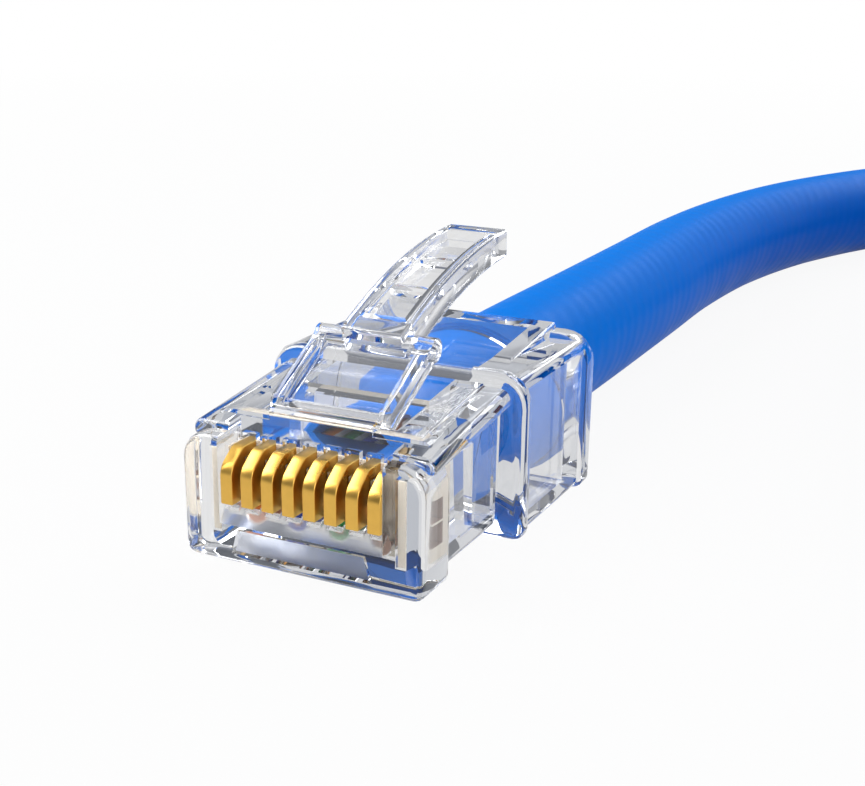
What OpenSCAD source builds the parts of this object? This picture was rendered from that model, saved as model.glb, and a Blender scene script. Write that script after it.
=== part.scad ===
// Ethernet patch cable: two clear 8-way modular plugs on one round cable.
// Millimetres, +Z up. The near plug points along -Y and rests on Z = 0, with the
// origin under the middle of its length. The spare cable lies in a tied coil beside it.

/* [Plug body] */
// Length of the plug, front face to rear face
plug_l = 17.5; // [16.5:0.1:20]
// Width of the nose that enters the jack
nose_w = 11.68; // [11.5:0.01:12]
// Height of the nose tip
tip_h = 5.7; // [5.5:0.05:6]
// Length of the nose tip, front to back
tip_l = 2.6; // [2.4:0.1:3]
// Inset of the neck's side faces behind the nose tip
neck_inset = 0.6; // [0.4:0.05:0.7]
// Distance from the front face to the shoulder of the rear block
shoulder_y = 8.6; // [8.2:0.1:9.4]
// Width of the rear block
rear_w = 13.2; // [12.6:0.1:14]
// Width of the raised plate along the top
plate_w = 9.2; // [8.6:0.1:9.8]
// Rise of the plug's top towards the cable, in degrees
top_slope = 6.3; // [5.5:0.1:7]
// Depth of the flat recess in each side of the rear block
side_recess = 0.25; // [0.1:0.05:0.4]

/* [Contacts] */
// Distance between neighbouring contacts
pitch = 1.02; // [1:0.01:1.04]
// Thickness of one gold blade
blade_t = 0.6; // [0.35:0.05:0.6]
// Height of the blades' front feet above the nose's underside
blade_low = 2.67; // [2.6:0.01:2.8]
// Height of the blades' top edge above the nose's underside
blade_high = 5.05; // [4.95:0.01:5.15]
// Depth of a blade, front to back
blade_y = 2.4; // [2.3:0.05:2.5]

/* [Cable] */
// Outside diameter of the cable
cable_d = 7.3; // [7:0.1:7.4]
// Diameter that the plug squeezes the cable down to
grip_d = 6.7; // [6.4:0.1:6.8]
// Wall of the cable's jacket
jacket_t = 0.6; // [0.5:0.05:0.65]
// Outside diameter of one insulated wire
wire_d = 1; // [0.9:0.02:1]
// Diameter of the copper in a wire
core_d = 0.5; // [0.4:0.02:0.56]

/* [Latch] */
// Width of the latch's flap, at its ears
flap_w = 5.9; // [5.6:0.1:6.1]
// Width of the narrow lever
lever_w = 3.2; // [3:0.1:3.4]
// Thickness of the lever at its ears
lever_t = 1.7; // [1.5:0.05:1.8]
// Slope of the flap, in degrees
flap_slope = 28; // [27:1:30]
// Slope of the arched lever at its ears, in degrees
lever_slope = 26; // [25:1:28]
// Turn shown, 0 at rest and 8 fully pressed
latch_press = 0; // [0:1:8]

/* [Coil] */
// Radius of the coil's widest turn, to the middle of the cable
coil_r = 43.5; // [43:0.5:44]
// Clear space between neighbouring turns
turn_gap = 0.45; // [0.42:0.01:0.5]
// Thickness of the hook-and-loop tie
tie_t = 0.8; // [0.6:0.1:1]
// Width of the hook-and-loop tie
tie_w = 8; // [6:0.5:12]

/* [Hidden] */
$fn = 32;

slack = 0.05;                       // running clearance between moulded pieces
wires = 8;
tip_r = 1.2;                        // rounding of the nose tip's top corners
rear_r = 1.5;                       // and of the rear block's top corners
edge_r = 0.5;                       // rounding of the other long edges
neck_w = nose_w - 2 * neck_inset;
neck_low = 0.1;                     // neck's underside above the nose's
neck_high = tip_h + 0.6;            // top of the neck's walls above the nose's underside
neck_floor = 0.4;                   // wall under the cable in the neck
neck_bore_h = neck_high - neck_low - neck_floor;
nose_axis = neck_low + neck_floor + neck_bore_h / 2;
rear_floor = 0.35;                  // walls under and over the cable in the rear block
rear_roof = 0.55;
cable_z = max(grip_d / 2 + rear_floor, nose_axis);
nose_lift = cable_z - nose_axis;
tip_top = nose_lift + tip_h;
neck_z = nose_lift + neck_low;
neck_top = nose_lift + neck_high;
rear_h = cable_z + grip_d / 2 + rear_roof;
rib_top = rear_h + 0.2;
rim_top = rear_h + 0.3;
deck_z = tip_top + 0.2;             // height of the sloping deck, drawn on to the front face
deck_y = 0.9;
deck_t = 0.8;
plate_t = 1.1;                      // raised plate on the deck
plate_rise = 0.12;
plate_r = 0.2;                      // rounding of the plate's edges
rib_l = 0.9;                        // full-height rib at the front of the rear block
rim_l = 1.2;                        // full-width rim around the cable entry
rib_y = shoulder_y + rib_l;
overlap = 0.01;                     // how far blocks of one solid run into each other
past = 1;                           // how far a cut runs out of the face that it opens
plate_inset = 0.3;                  // plate's ends, from the window and from the rear face

// Contact window, dividers and blades
blade_z = nose_lift + blade_low;
blade_top = nose_lift + blade_high;
window_w = (wires - 1) * pitch + blade_t + 0.2;
window_back = blade_y - 0.5;
window_z = blade_z - 0.85;
divider_y = 0.4;
divider_w = pitch - blade_t - 2 * slack;
divider_top = blade_top - 0.45;
corner_z = blade_top - 0.75;        // where the blade's slanting shoulder begins
corner_r = 0.8;
corner_slope = 38;
corner_y = 0.1;                     // middle of the shoulder, behind the front face
foot_gap = 0.1;                     // between a blade's foot and the wire's cut end
tine_y = 0.35;                      // first tine's point, from the blade's back
tine_w = 0.3;
tine_step = 0.6;
panel_depth = 0.3;                  // shallow panel in the lower front face
panel_inset = 0.57;
panel_taper = 0.3;
panel_low = 0.45;                   // above the nose's underside
panel_high = 0.25;                  // below the window

// Wires: two staggered rows in the load bar, two rows in the jacket
row_low = blade_z - 0.62;
row_step = wire_d + 0.1;
jacket_y = 6.4;                     // front end of the jacket
squeeze_y = rib_y + slack;          // where it widens again, behind the neck
squeeze_l = 1.2;
front_d = neck_bore_h - 2 * slack;  // squeezed further in the neck
front_t = jacket_t - 0.2;
front_bore = front_d - 2 * front_t;
rear_bore = grip_d - 2 * jacket_t;
core_gap = 0.02;                    // between the copper and its insulation
wire_y0 = 1;                        // cut front ends of the wires
bar_y0 = blade_y + 0.2;
bar_y1 = bar_y0 + 1.6;
cheek_wall = 0.28;                  // housing's wall between the window and a cheek
cheek_x = window_w / 2 + cheek_wall + slack;
cheek_w = 0.4;                      // cheeks of the load bar, beside the window
cheek_y = 1.1;
sight_front = 0.7;                  // walls of a cheek before and behind its two sights
sight_back = 0.1;
sight_h = 0.6;
sight_step = 0.8;
bore_run = 0.1;                     // how far the wires' bores run into the bar's cavity
bar_w = 2 * (cheek_x + cheek_w);
bar_z0 = row_low - wire_d / 2 - 0.4;
bar_z1 = blade_top - 0.15;
pack_reach = min(front_bore, rear_bore) / 2 - wire_d / 2 - 0.01;
pack_z = 0.34 * pack_reach;         // half the space between the two rows in the jacket
pack_x = sqrt(pack_reach * pack_reach - pack_z * pack_z) * 2 / (wires - 1);

// Cavity for the jacket
bore_w = grip_d + 0.8;
bore_h = grip_d + 2 * slack;
neck_bore_r = 1;                    // rounding of its corners in the neck and behind it
rear_bore_r = 1.2;
relief_y0 = shoulder_y + 3.2;       // strain relief tongue pressed into the jacket
relief_l = 2.4;
relief_w = 4.4;
relief_bite = 0.4;
relief_top = cable_z - grip_d / 2 + relief_bite;
relief_z = 0.15;

// Latch: hinge line at its root, flap up to the ears, lever beyond
flap_t = 0.6;
flap_l = 4.4;
rail_w = 0.65;
rail_t = 0.95;
ear_r = 0.55;
lever_l = 11.26;
lever_end_slope = 3;
lever_end_t = lever_t - 0.3;
lever_r = lever_l * 180 / (PI * (lever_slope - lever_end_slope));
hinge_r = rail_t / 2;
hinge_gap = 0.06;
hinge_y = 3.1;
hinge_z = tip_top + 0.9;
channel_z = hinge_z - hinge_r - hinge_gap;
channel_l = 2.4;                    // pocket in the plate under the flap
channel_w = flap_w + 0.6;
root_w = flap_w - 0.9;              // upstand of the housing in front of the hinge
root_t = 0.8;
root_foot = [hinge_y - 1.5, tip_top - 0.1];
root_head = [hinge_y - 0.85, hinge_z - 0.3];
rim_w = 0.45;                       // raised rim around the lever's sunk floor
rim_end = 1.2;
rim_rise = 0.5;
bays = 3;                           // sunk further, with ribs between
bay_sink = 0.35;
rib_gap = 0.5;
rim_start = 0.9;
bay_inset = 0.1;
front_reach = 0.3;                  // lever's front face, ahead of the ears
bay_step = (lever_l - rim_end - rim_start - 2 * bay_inset + rib_gap) / bays;
gusset_w = 0.35;
gusset_foot = [1.9, 0.9];           // its low corners, in front of and below the ears
gusset_heel = [0.3, 0.4];
lap = 0.05;                         // how far the latch's web and ears run into its rails
ear_y = hinge_y + flap_l * cos(flap_slope);
ear_z = hinge_z + flap_l * sin(flap_slope);

// Places of the two plugs
lever_y = ear_y + lever_r * (sin(lever_slope) - sin(lever_end_slope));
plug_reach = max(plug_l, lever_y + sin(lever_end_slope) * lever_end_t / 2);
near_at = [0, -plug_reach / 2, 0];
near_rear = plug_l + near_at[1];
far_at = [74.5, 87.5];              // middle of the far plug's rear face
far_turn = 70;
layer = cable_d + turn_gap;
coil_at = [63.5, 54];
far_lift = cable_d + layer + 0.3;

// Routes, plug to coil and coil to plug
cable_r = cable_d / 2;
lead_route = [
    [0, near_rear, cable_z], [0, 17, cable_z], [0, 26, cable_r], [0, 36, cable_r],
    [0, 46, cable_r], [1, 58, cable_r], [4, 70.5, cable_r], [11, 84.5, cable_r],
    [19, 92, cable_r], [28.5, 96.4, cable_r], [38.5, coil_at[1] + coil_r, cable_r],
    [51, coil_at[1] + coil_r, cable_r], [coil_at[0], coil_at[1] + coil_r, cable_r]
];
tail_route = [
    [coil_at[0], coil_at[1] - coil_r, cable_r + layer], [46.5, 13.2, 11.7],
    [32.2, 22.7, 12.5], [22.2, 37, 13.8], [17.9, 54, 15.4], [20, 66.7, 16.4],
    [24.3, 76.8, 17.2], [31.7, 85.3, 18.1], [41.8, 91.1, 18.8],
    [52.9, 93.2, far_lift + cable_z], [64.6, 91.1, far_lift + cable_z],
    [far_at[0], far_at[1], far_lift + cable_z]
];

wire_names = [
    "near_wire_1_white_orange", "near_wire_2_orange", "near_wire_3_white_green",
    "near_wire_4_blue", "near_wire_5_white_blue", "near_wire_6_green",
    "near_wire_7_white_brown", "near_wire_8_brown"
];
wire_colors = [
    "peachpuff", "darkorange", "honeydew", "royalblue", "lightsteelblue", "forestgreen",
    "wheat", "saddlebrown"
];

// ---- Helpers -------------------------------------------------------------

function unit(v) = v / norm(v);
function wire_x(k) = (k - (wires - 1) / 2) * pitch;
function in_upper_row(k) = k % 2 == 0;
function row_z(k) = row_low + (in_upper_row(k) ? row_step : 0);
function smooth(s) = s <= 0 ? 0 : s >= 1 ? 1 : s * s * (3 - 2 * s);

// Directions along a route: its own two ends may be given
function headings(route, first, last) = [
    for (i = [0 : len(route) - 1])
        i == 0 ? unit(first)
        : i == len(route) - 1 ? unit(last)
        : unit(unit(route[i + 1] - route[i]) + unit(route[i] - route[i - 1]))
];

// Points of the rings around a route, each square to its heading
function ring_points(route, ways, r, sides) = [
    for (i = [0 : len(route) - 1])
        let (side = unit(cross(ways[i], [0, 0, 1])), up = cross(side, ways[i]))
        for (k = [0 : sides - 1])
            let (a = 360 * k / sides)
            route[i] + r * (side * sin(a) - up * cos(a))
];

// Faces of a tube, each listed clockwise as seen from outside: its front end first, its
// rear end last
function tube_faces(rings, sides) = [
    [for (k = [sides - 1 : -1 : 0]) k],
    for (i = [0 : rings - 2], k = [0 : sides - 1])
        let (a = i * sides + k, b = i * sides + (k + 1) % sides)
        each [[a, b + sides, a + sides], [a, b, b + sides]],
    [for (k = [0 : sides - 1]) (rings - 1) * sides + k]
];

module tube(route, first, last, r, sides) {
    polyhedron(
        points = ring_points(route, headings(route, first, last), r, sides),
        faces = tube_faces(len(route), sides),
        convexity = 8
    );
}

// The same tube with a bore along it
module hollow_tube(route, first, last, r, bore_r, sides) {
    ways = headings(route, first, last);
    rings = len(route);
    inner = rings * sides;
    end = (rings - 1) * sides;
    outside = tube_faces(rings, sides);
    wall = [for (i = [1 : len(outside) - 2]) outside[i]];
    polyhedron(
        points = concat(
            ring_points(route, ways, r, sides),
            ring_points(route, ways, bore_r, sides)
        ),
        faces = concat(
            wall,
            [for (f = wall) [f[2] + inner, f[1] + inner, f[0] + inner]],
            [
                for (k = [0 : sides - 1])
                    let (n = (k + 1) % sides)
                    each [
                        [k, n + inner, n], [k, k + inner, n + inner],
                        [end + n, end + k + inner, end + k],
                        [end + n, end + n + inner, end + k + inner]
                    ]
            ]
        ),
        convexity = 8
    );
}

// A front view (X and Z) drawn out from y0 to y1
module along_y(y0, y1) {
    translate([0, y1, 0])
        rotate([90, 0, 0])
            linear_extrude(height = y1 - y0)
                children();
}

// A side view (Y and Z) drawn out w wide, centred on x
module across_x(w, x = 0) {
    translate([x - w / 2, 0, 0])
        rotate([90, 0, 90])
            linear_extrude(height = w)
                children();
}

// Front view of a block with rounded corners
module block_view(w, z0, z1, r_top, r_low) {
    for (side = [-1, 1]) {
        translate([side * (w / 2 - r_top), z1 - r_top])
            circle(r = r_top);
        translate([side * (w / 2 - r_low), z0 + r_low])
            circle(r = r_low);
    }
    translate([-w / 2, z0 + r_low])
        square([w, z1 - z0 - r_top - r_low]);
    translate([-w / 2 + r_top, z1 - r_top - 0.001])
        square([w - 2 * r_top, r_top + 0.001]);
    translate([-w / 2 + r_low, z0])
        square([w - 2 * r_low, r_low + 0.001]);
}

// A bar between two points of a side view, with round ends
module round_bar_view(from, to, t) {
    run = to - from;
    translate(from)
        rotate(atan2(run[1], run[0])) {
            translate([0, -t / 2])
                square([norm(run), t]);
            circle(d = t);
            translate([norm(run), 0])
                circle(d = t);
        }
}

module at_near() {
    translate(near_at)
        children();
}

module at_far() {
    translate([far_at[0], far_at[1], far_lift])
        rotate([0, 0, far_turn])
            translate([0, -plug_l, 0])
                children();
}

// ---- Plug housing --------------------------------------------------------

module housing_outside() {
    along_y(0, tip_l)
        block_view(nose_w, nose_lift, tip_top, tip_r, edge_r);
    along_y(tip_l - overlap, shoulder_y + overlap)
        block_view(neck_w, neck_z, neck_top, edge_r, edge_r);
    sloping_top();
    along_y(shoulder_y, rib_y)
        block_view(rear_w, 0, rib_top, rear_r, edge_r);
    along_y(rib_y - overlap, plug_l - rim_l + overlap)
        block_view(rear_w - 2 * side_recess, 0, rear_h, edge_r, edge_r);
    along_y(plug_l - rim_l, plug_l)
        block_view(rear_w, 0, rim_top, rear_r, edge_r);
    across_x(root_w)
        round_bar_view(root_foot, root_head, root_t);
}

// Deck over the nose and the neck, and the plate that runs on to the rear
module sloping_top() {
    translate([0, 0, deck_z])
        rotate([top_slope, 0, 0]) {
            along_y(deck_y, shoulder_y + rib_l / 2)
                block_view(nose_w, -deck_t, 0, edge_r, plate_r);
            along_y(window_back + plate_inset, plug_l - plate_inset)
                block_view(plate_w, -plate_t, plate_rise, plate_r, plate_r);
        }
}

module contact_window() {
    difference() {
        translate([-window_w / 2, -past, window_z])
            cube([window_w, window_back + past, tip_top]);
        for (k = [0 : wires - 2])
            translate([wire_x(k) + (pitch - divider_w) / 2, divider_y, window_z - past])
                cube([divider_w, window_back, divider_top - window_z + past]);
    }
    for (k = [0 : wires - 1])
        translate([wire_x(k) - blade_t / 2 - slack, 0, row_low + core_d / 2])
            cube([blade_t + 2 * slack, blade_y + slack, blade_top + slack - row_low]);
}

module housing_hollows() {
    contact_window();
    for (k = [0 : wires - 1])
        translate([wire_x(k), bar_y0 + bore_run, row_z(k)])
            rotate([90, 0, 0])
                cylinder(d = wire_d + 2 * slack, h = bar_y0 + bore_run - wire_y0 + slack);
    translate([-bar_w / 2 - slack, bar_y0 - slack, bar_z0 - slack])
        cube([bar_w + 2 * slack, jacket_y - bar_y0, bar_z1 - bar_z0 + 2 * slack]);
    for (side = [-1, 1])
        translate([side * (cheek_x + cheek_w / 2), cheek_y - slack, bar_z0 - slack])
            translate([-cheek_w / 2 - slack, 0, 0])
                cube([
                    cheek_w + 2 * slack,
                    bar_y0 - cheek_y + slack,
                    bar_z1 - bar_z0 + 2 * slack
                ]);
    along_y(jacket_y - slack - overlap, rib_y + overlap)
        bore_view(neck_bore_h, neck_bore_r);
    along_y(rib_y, plug_l + past)
        bore_view(bore_h, rear_bore_r);
    translate([-relief_w / 2 - slack, relief_y0 - slack, -past])
        cube([relief_w + 2 * slack, relief_l + 2 * slack, 2 * past + relief_top]);
    front_panel_recess();
    hinge_trough();
}

// Front view of the bore round the cable's jacket
module bore_view(h, r) {
    block_view(bore_w, cable_z - h / 2, cable_z + h / 2, r, r);
}

// Shallow panel sunk into the lower front face
module front_panel_recess() {
    low = window_w / 2 - panel_inset;
    high = low - panel_taper;
    along_y(panel_depth - past, panel_depth)
        polygon([
            [-low, nose_lift + panel_low], [low, nose_lift + panel_low],
            [high, window_z - panel_high], [-high, window_z - panel_high]
        ]);
}

// Rounded seat that the latch's root turns in, and the pocket under its flap
module hinge_trough() {
    across_x(channel_w) {
        translate([hinge_y, hinge_z])
            circle(r = hinge_r + hinge_gap, $fn = 48);
        translate([hinge_y, channel_z])
            square([channel_l, hinge_z]);
    }
}

module plug_housing() {
    color([0.86, 0.9, 0.94, 0.5])
        difference() {
            housing_outside();
            housing_hollows();
        }
}

// Tongue crimped up into the jacket from the housing's floor
module plug_strain_relief() {
    color([0.8, 0.86, 0.92])
        translate([-relief_w / 2, relief_y0, relief_z])
            cube([relief_w, relief_l, relief_top - relief_z]);
}

// ---- Latch ---------------------------------------------------------------

module latch_shape() {
    ear_w = (flap_w - lever_w) / 2 + 2 * lap;
    across_x(flap_w)
        translate([hinge_y, hinge_z])
            circle(r = hinge_r);
    across_x(flap_w - 2 * rail_w + 2 * lap)
        round_bar_view([hinge_y, hinge_z], [ear_y, ear_z], flap_t);
    for (side = [-1, 1]) {
        across_x(rail_w, side * (flap_w - rail_w) / 2)
            round_bar_view([hinge_y, hinge_z], [ear_y, ear_z], rail_t);
        across_x(ear_w, side * (flap_w - ear_w) / 2)
            translate([ear_y, ear_z])
                circle(r = ear_r);
    }
    for (side = [-1, 1])
        across_x(gusset_w, side * (lever_w - gusset_w) / 2)
            polygon([
                [ear_y, ear_z], [ear_y, ear_z] - gusset_foot, [ear_y, ear_z] - gusset_heel
            ]);
    difference() {
        across_x(lever_w)
            lever_view(-front_reach, lever_l, -1, 1, 0);
        across_x(lever_w - 2 * rim_w)
            lever_view(rim_start, lever_l - rim_end, 1, 4, -rim_rise);
        for (k = [0 : bays - 1])
            across_x(lever_w - 2 * (rim_w + bay_inset))
                lever_view(
                    rim_start + bay_inset + k * bay_step,
                    rim_start + bay_inset + (k + 1) * bay_step - rib_gap,
                    1, 4, -rim_rise - bay_sink
                );
    }
}

// Side view of the arched lever between two distances from the ears. Its faces are given
// in half thicknesses from its middle line, the upper or lower one moved by a shift.
module lever_view(from, to, low, high, shift) {
    steps = 12;
    at = [for (i = [0 : steps]) from + (to - from) * i / steps];
    polygon(concat(
        [for (d = at) lever_point(d, low * lever_half(d) + (low > 0 ? shift : 0))],
        [for (i = [steps : -1 : 0]) lever_point(at[i], high * lever_half(at[i]))]
    ));
}

function lever_turn(d) = lever_slope - (lever_slope - lever_end_slope) * d / lever_l;
function lever_half(d) = (lever_t + (lever_end_t - lever_t) * d / lever_l) / 2;
function lever_point(d, up) =
    let (a = lever_turn(d))
    [ear_y, ear_z]
    + lever_r * [sin(lever_slope) - sin(a), cos(a) - cos(lever_slope)]
    + up * [-sin(a), cos(a)];

module plug_latch() {
    color([0.9, 0.94, 0.97, 0.6])
        translate([0, hinge_y, hinge_z])
            rotate([-latch_press, 0, 0])
                translate([0, -hinge_y, -hinge_z])
                    latch_shape();
}

// ---- Contacts, load bar, wires -------------------------------------------

// Side view of a blade, with tines that reach the copper at pierce_z
module blade_view(pierce_z) {
    arc = 90 - corner_slope;
    arc_at = [corner_r, corner_z - corner_r * tan(arc / 2)];
    body_z = pierce_z + wire_d / 2 - core_d / 2 + slack;
    polygon(concat(
        [[0, blade_z]],
        [for (a = [180 : -arc / 4 : 180 - arc]) arc_at + corner_r * [cos(a), sin(a)]],
        [
            [(blade_top - corner_z) / tan(corner_slope) + corner_y, blade_top],
            [blade_y, blade_top], [blade_y, body_z]
        ],
        [
            for (tine = [0, 1], part = [-1, 0, 1])
                [
                    blade_y - tine_y - tine * tine_step - part * tine_w / 2,
                    part == 0 ? pierce_z : body_z
                ]
        ],
        [[wire_y0 - foot_gap, body_z], [wire_y0 - foot_gap, blade_z]]
    ));
}

module plug_contact(k) {
    color([0.95, 0.72, 0.28])
        across_x(blade_t, wire_x(k))
            blade_view(row_z(k) + core_d / 2);
}

module plug_load_bar() {
    color([0.93, 0.87, 0.76]) {
        difference() {
            translate([-bar_w / 2, bar_y0, bar_z0])
                cube([bar_w, bar_y1 - bar_y0, bar_z1 - bar_z0]);
            for (k = [0 : wires - 1])
                translate([wire_x(k), bar_y1 + past, row_z(k)])
                    rotate([90, 0, 0])
                        cylinder(d = wire_d + slack, h = bar_y1 - bar_y0 + 2 * past);
        }
        for (side = [-1, 1])
            across_x(cheek_w, side * (cheek_x + cheek_w / 2))
                cheek_view();
    }
}

// Side view of a cheek, with the two tiers of its sight
module cheek_view() {
    difference() {
        translate([cheek_y, bar_z0])
            square([bar_y0 - cheek_y + overlap, bar_z1 - bar_z0]);
        for (tier = [0, 1])
            translate([cheek_y + sight_front, row_low + tier * sight_step])
                square([bar_y0 - cheek_y - sight_front - sight_back, sight_h]);
    }
}

// Route of one wire: straight under its blade, then into the jacket's bundle
function wire_route(k) =
    let (
        x0 = wire_x(k),
        z0 = row_z(k),
        x1 = (k - (wires - 1) / 2) * pack_x,
        z1 = cable_z + (in_upper_row(k) ? pack_z : -pack_z),
        bend = jacket_y - bar_y1
    )
    concat(
        [[x0, wire_y0, z0]],
        [
            for (s = [0 : 0.25 : 1])
                [
                    x0 + (x1 - x0) * smooth(s),
                    bar_y1 + bend * s,
                    z0 + (z1 - z0) * smooth(s)
                ]
        ],
        [[x1, plug_l, z1]]
    );

// Insulation of one wire, which its blade bites through to the copper
module plug_wire(k) {
    color(wire_colors[k])
        hollow_tube(wire_route(k), [0, 1, 0], [0, 1, 0], wire_d / 2, core_d / 2, 8);
}

module plug_core(k) {
    color([0.82, 0.5, 0.28])
        tube(wire_route(k), [0, 1, 0], [0, 1, 0], core_d / 2 - core_gap, 8);
}

module plug_jacket() {
    color([0.05, 0.42, 0.9])
        difference() {
            jacket_outside();
            jacket_bore();
            translate([-relief_w / 2, relief_y0, -past])
                cube([relief_w, relief_l, relief_top + past]);
        }
}

// Round rod or cone on the cable's axis
module rod_y(y0, y1, d0, d1) {
    translate([0, y0, cable_z])
        rotate([-90, 0, 0])
            cylinder(d1 = d0, d2 = d1, h = y1 - y0, $fn = 48);
}

module jacket_outside() {
    rod_y(jacket_y, squeeze_y, front_d, front_d);
    rod_y(squeeze_y, squeeze_y + squeeze_l, front_d, grip_d);
    rod_y(squeeze_y + squeeze_l, plug_l, grip_d, grip_d);
}

module jacket_bore() {
    rod_y(jacket_y - past, squeeze_y, front_bore, front_bore);
    rod_y(squeeze_y, squeeze_y + squeeze_l, front_bore, rear_bore);
    rod_y(squeeze_y + squeeze_l, plug_l + past, rear_bore, rear_bore);
}

// ---- Cord and coil -------------------------------------------------------

module cord_lead() {
    color([0.05, 0.42, 0.9])
        tube(lead_route, [0, 1, 0], [1, 0, 0], cable_r, 12);
}

module cord_tail() {
    color([0.05, 0.42, 0.9])
        tube(tail_route, [-1, 0, 0], [sin(far_turn), -cos(far_turn), 0], cable_r, 12);
}

// The coil winds in, climbs one layer while it turns back, and winds out on top
coil_turns = 3.5;
coil_back = coil_turns / 2;
tie_angle = 10;                     // where the tie is, seen from above
tie_slack = 0.3;
tie_r = 2;                          // rounding of the tie's corners, outside and inside
tie_bore_r = 1.4;
tie_lift = tie_t + 0.2;
lift_end = 42;                      // the coil rises over the tie's floor up to this angle
lift_fade = 30;                     // from it, and over this much of a turn
climb = 0.5;                        // part of a turn over which it climbs one layer

function coil_radius(t) = coil_r - layer * (coil_back - abs(t - coil_back));
function coil_angle(t) = 90 - 360 * t;
function from_tie(a) = abs(((a - tie_angle) % 360 + 540) % 360 - 180);
function coil_z(t) =
    cable_r
    + layer * smooth((t - coil_back + climb / 2) / climb)
    + tie_lift * smooth((lift_end - from_tie(coil_angle(t))) / lift_fade);
function coil_point(t) = [
    coil_at[0] + coil_radius(t) * cos(coil_angle(t)),
    coil_at[1] + coil_radius(t) * sin(coil_angle(t)),
    coil_z(t)
];

rings_per_turn = 24;
coil_start = [coil_at[0], coil_at[1] + coil_r, cable_r];
coil_end = [coil_at[0], coil_at[1] - coil_r, cable_r + layer];
coil_route = concat(
    [coil_start, coil_start + [cable_d, 0, 0]],
    [for (i = [2 : coil_turns * rings_per_turn - 2]) coil_point(i / rings_per_turn)],
    [coil_end + [cable_d, 0, 0], coil_end]
);

module cord_coil() {
    color([0.05, 0.42, 0.9])
        tube(coil_route, [1, 0, 0], [-1, 0, 0], cable_r, 6);
}

// Least clear space between one turn and the next, measured on the route's points
far_apart = rings_per_turn / 2;
turn_space = min([
    for (i = [0 : len(coil_route) - 1 - far_apart])
        for (j = [i + far_apart : len(coil_route) - 1])
            norm(coil_route[i] - coil_route[j])
]) - cable_d;
echo("least space between turns", turn_space);
echo("coil length", route_length(coil_route));
echo("lead length", route_length(lead_route));
echo("tail length", route_length(tail_route));

function route_length(route) =
    len(route) < 2 ? 0
    : [for (i = 1, s = norm(route[1] - route[0]); i < len(route);
            i = i + 1, s = s + (i < len(route) ? norm(route[i] - route[i - 1]) : 0))
        s][len(route) - 2];

module cable_tie() {
    first_pass = (90 - tie_angle) / 360;
    passes = [for (t = [first_pass : coil_turns]) coil_radius(t)];
    inner = min(passes) - cable_r - tie_slack;
    outer = max(passes) + cable_r + tie_slack;
    top = cable_d + layer + tie_lift + tie_slack;
    color([0.12, 0.12, 0.13])
        translate([coil_at[0], coil_at[1], 0])
            rotate([0, 0, tie_angle])
                translate([(inner + outer) / 2, 0, 0])
                    along_y(-tie_w / 2, tie_w / 2)
                        difference() {
                            block_view(outer - inner + 2 * tie_t, 0, top + tie_t, tie_r, tie_r);
                            block_view(outer - inner, tie_t, top, tie_bore_r, tie_bore_r);
                        }
}

// ---- The object ----------------------------------------------------------

at_near() plug_housing();  // near_housing
at_near() plug_latch();  // near_latch
at_near() plug_load_bar();  // near_load_bar
at_near() plug_strain_relief();  // near_strain_relief
at_near() plug_jacket();  // near_jacket
for (k = [0 : wires - 1]) {
    at_near() plug_contact(k);
    at_near() plug_wire(k);
    at_near() plug_core(k);
}
cord_lead();
cord_coil();
cord_tail();
cable_tie();
at_far() plug_housing();  // far_housing
at_far() plug_latch();  // far_latch
at_far() plug_load_bar();  // far_load_bar
at_far() plug_strain_relief();  // far_strain_relief
at_far() plug_jacket();  // far_jacket
at_far() for (k = [0 : wires - 1]) plug_contact(k);  // far_contacts
at_far() for (k = [0 : wires - 1]) plug_wire(k);  // far_wires
at_far() for (k = [0 : wires - 1]) plug_core(k);  // far_cores
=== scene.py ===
"""Ethernet patch cable: clear modular plugs, blue cable, tied coil."""
import math

import bmesh
import bpy
from mathutils import Matrix, Vector


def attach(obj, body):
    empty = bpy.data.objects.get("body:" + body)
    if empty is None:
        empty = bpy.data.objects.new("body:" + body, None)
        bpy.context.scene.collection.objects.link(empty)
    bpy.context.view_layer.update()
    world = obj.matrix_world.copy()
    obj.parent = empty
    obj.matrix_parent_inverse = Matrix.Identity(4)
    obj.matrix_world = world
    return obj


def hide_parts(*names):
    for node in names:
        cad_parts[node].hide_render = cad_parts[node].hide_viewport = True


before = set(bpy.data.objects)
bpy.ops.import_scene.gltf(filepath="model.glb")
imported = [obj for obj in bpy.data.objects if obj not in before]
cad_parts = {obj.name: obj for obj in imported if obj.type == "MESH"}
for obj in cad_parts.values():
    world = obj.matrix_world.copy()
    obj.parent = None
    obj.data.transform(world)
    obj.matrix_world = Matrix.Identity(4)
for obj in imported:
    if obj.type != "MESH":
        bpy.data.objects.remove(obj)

bl_info = {
    "name": "Ethernet patch cable",
    "version": (1, 0, 0),
    "blender": (4, 5, 0),
    "location": "3D View > Sidebar > Cable",
    "description": "Builds a patch cable with clear plugs around its frame",
    "category": "Object",
}

MM = 0.001
MERGE = 0.002                       # corners this close are one, in millimetres
FLAT = math.radians(0.5)            # faces that meet flatter than this are one
SMOOTH = 32.0                       # edges flatter than this are shaded smooth, in degrees
SHARP = 40.0                        # edges sharper than this are rounded

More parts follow.
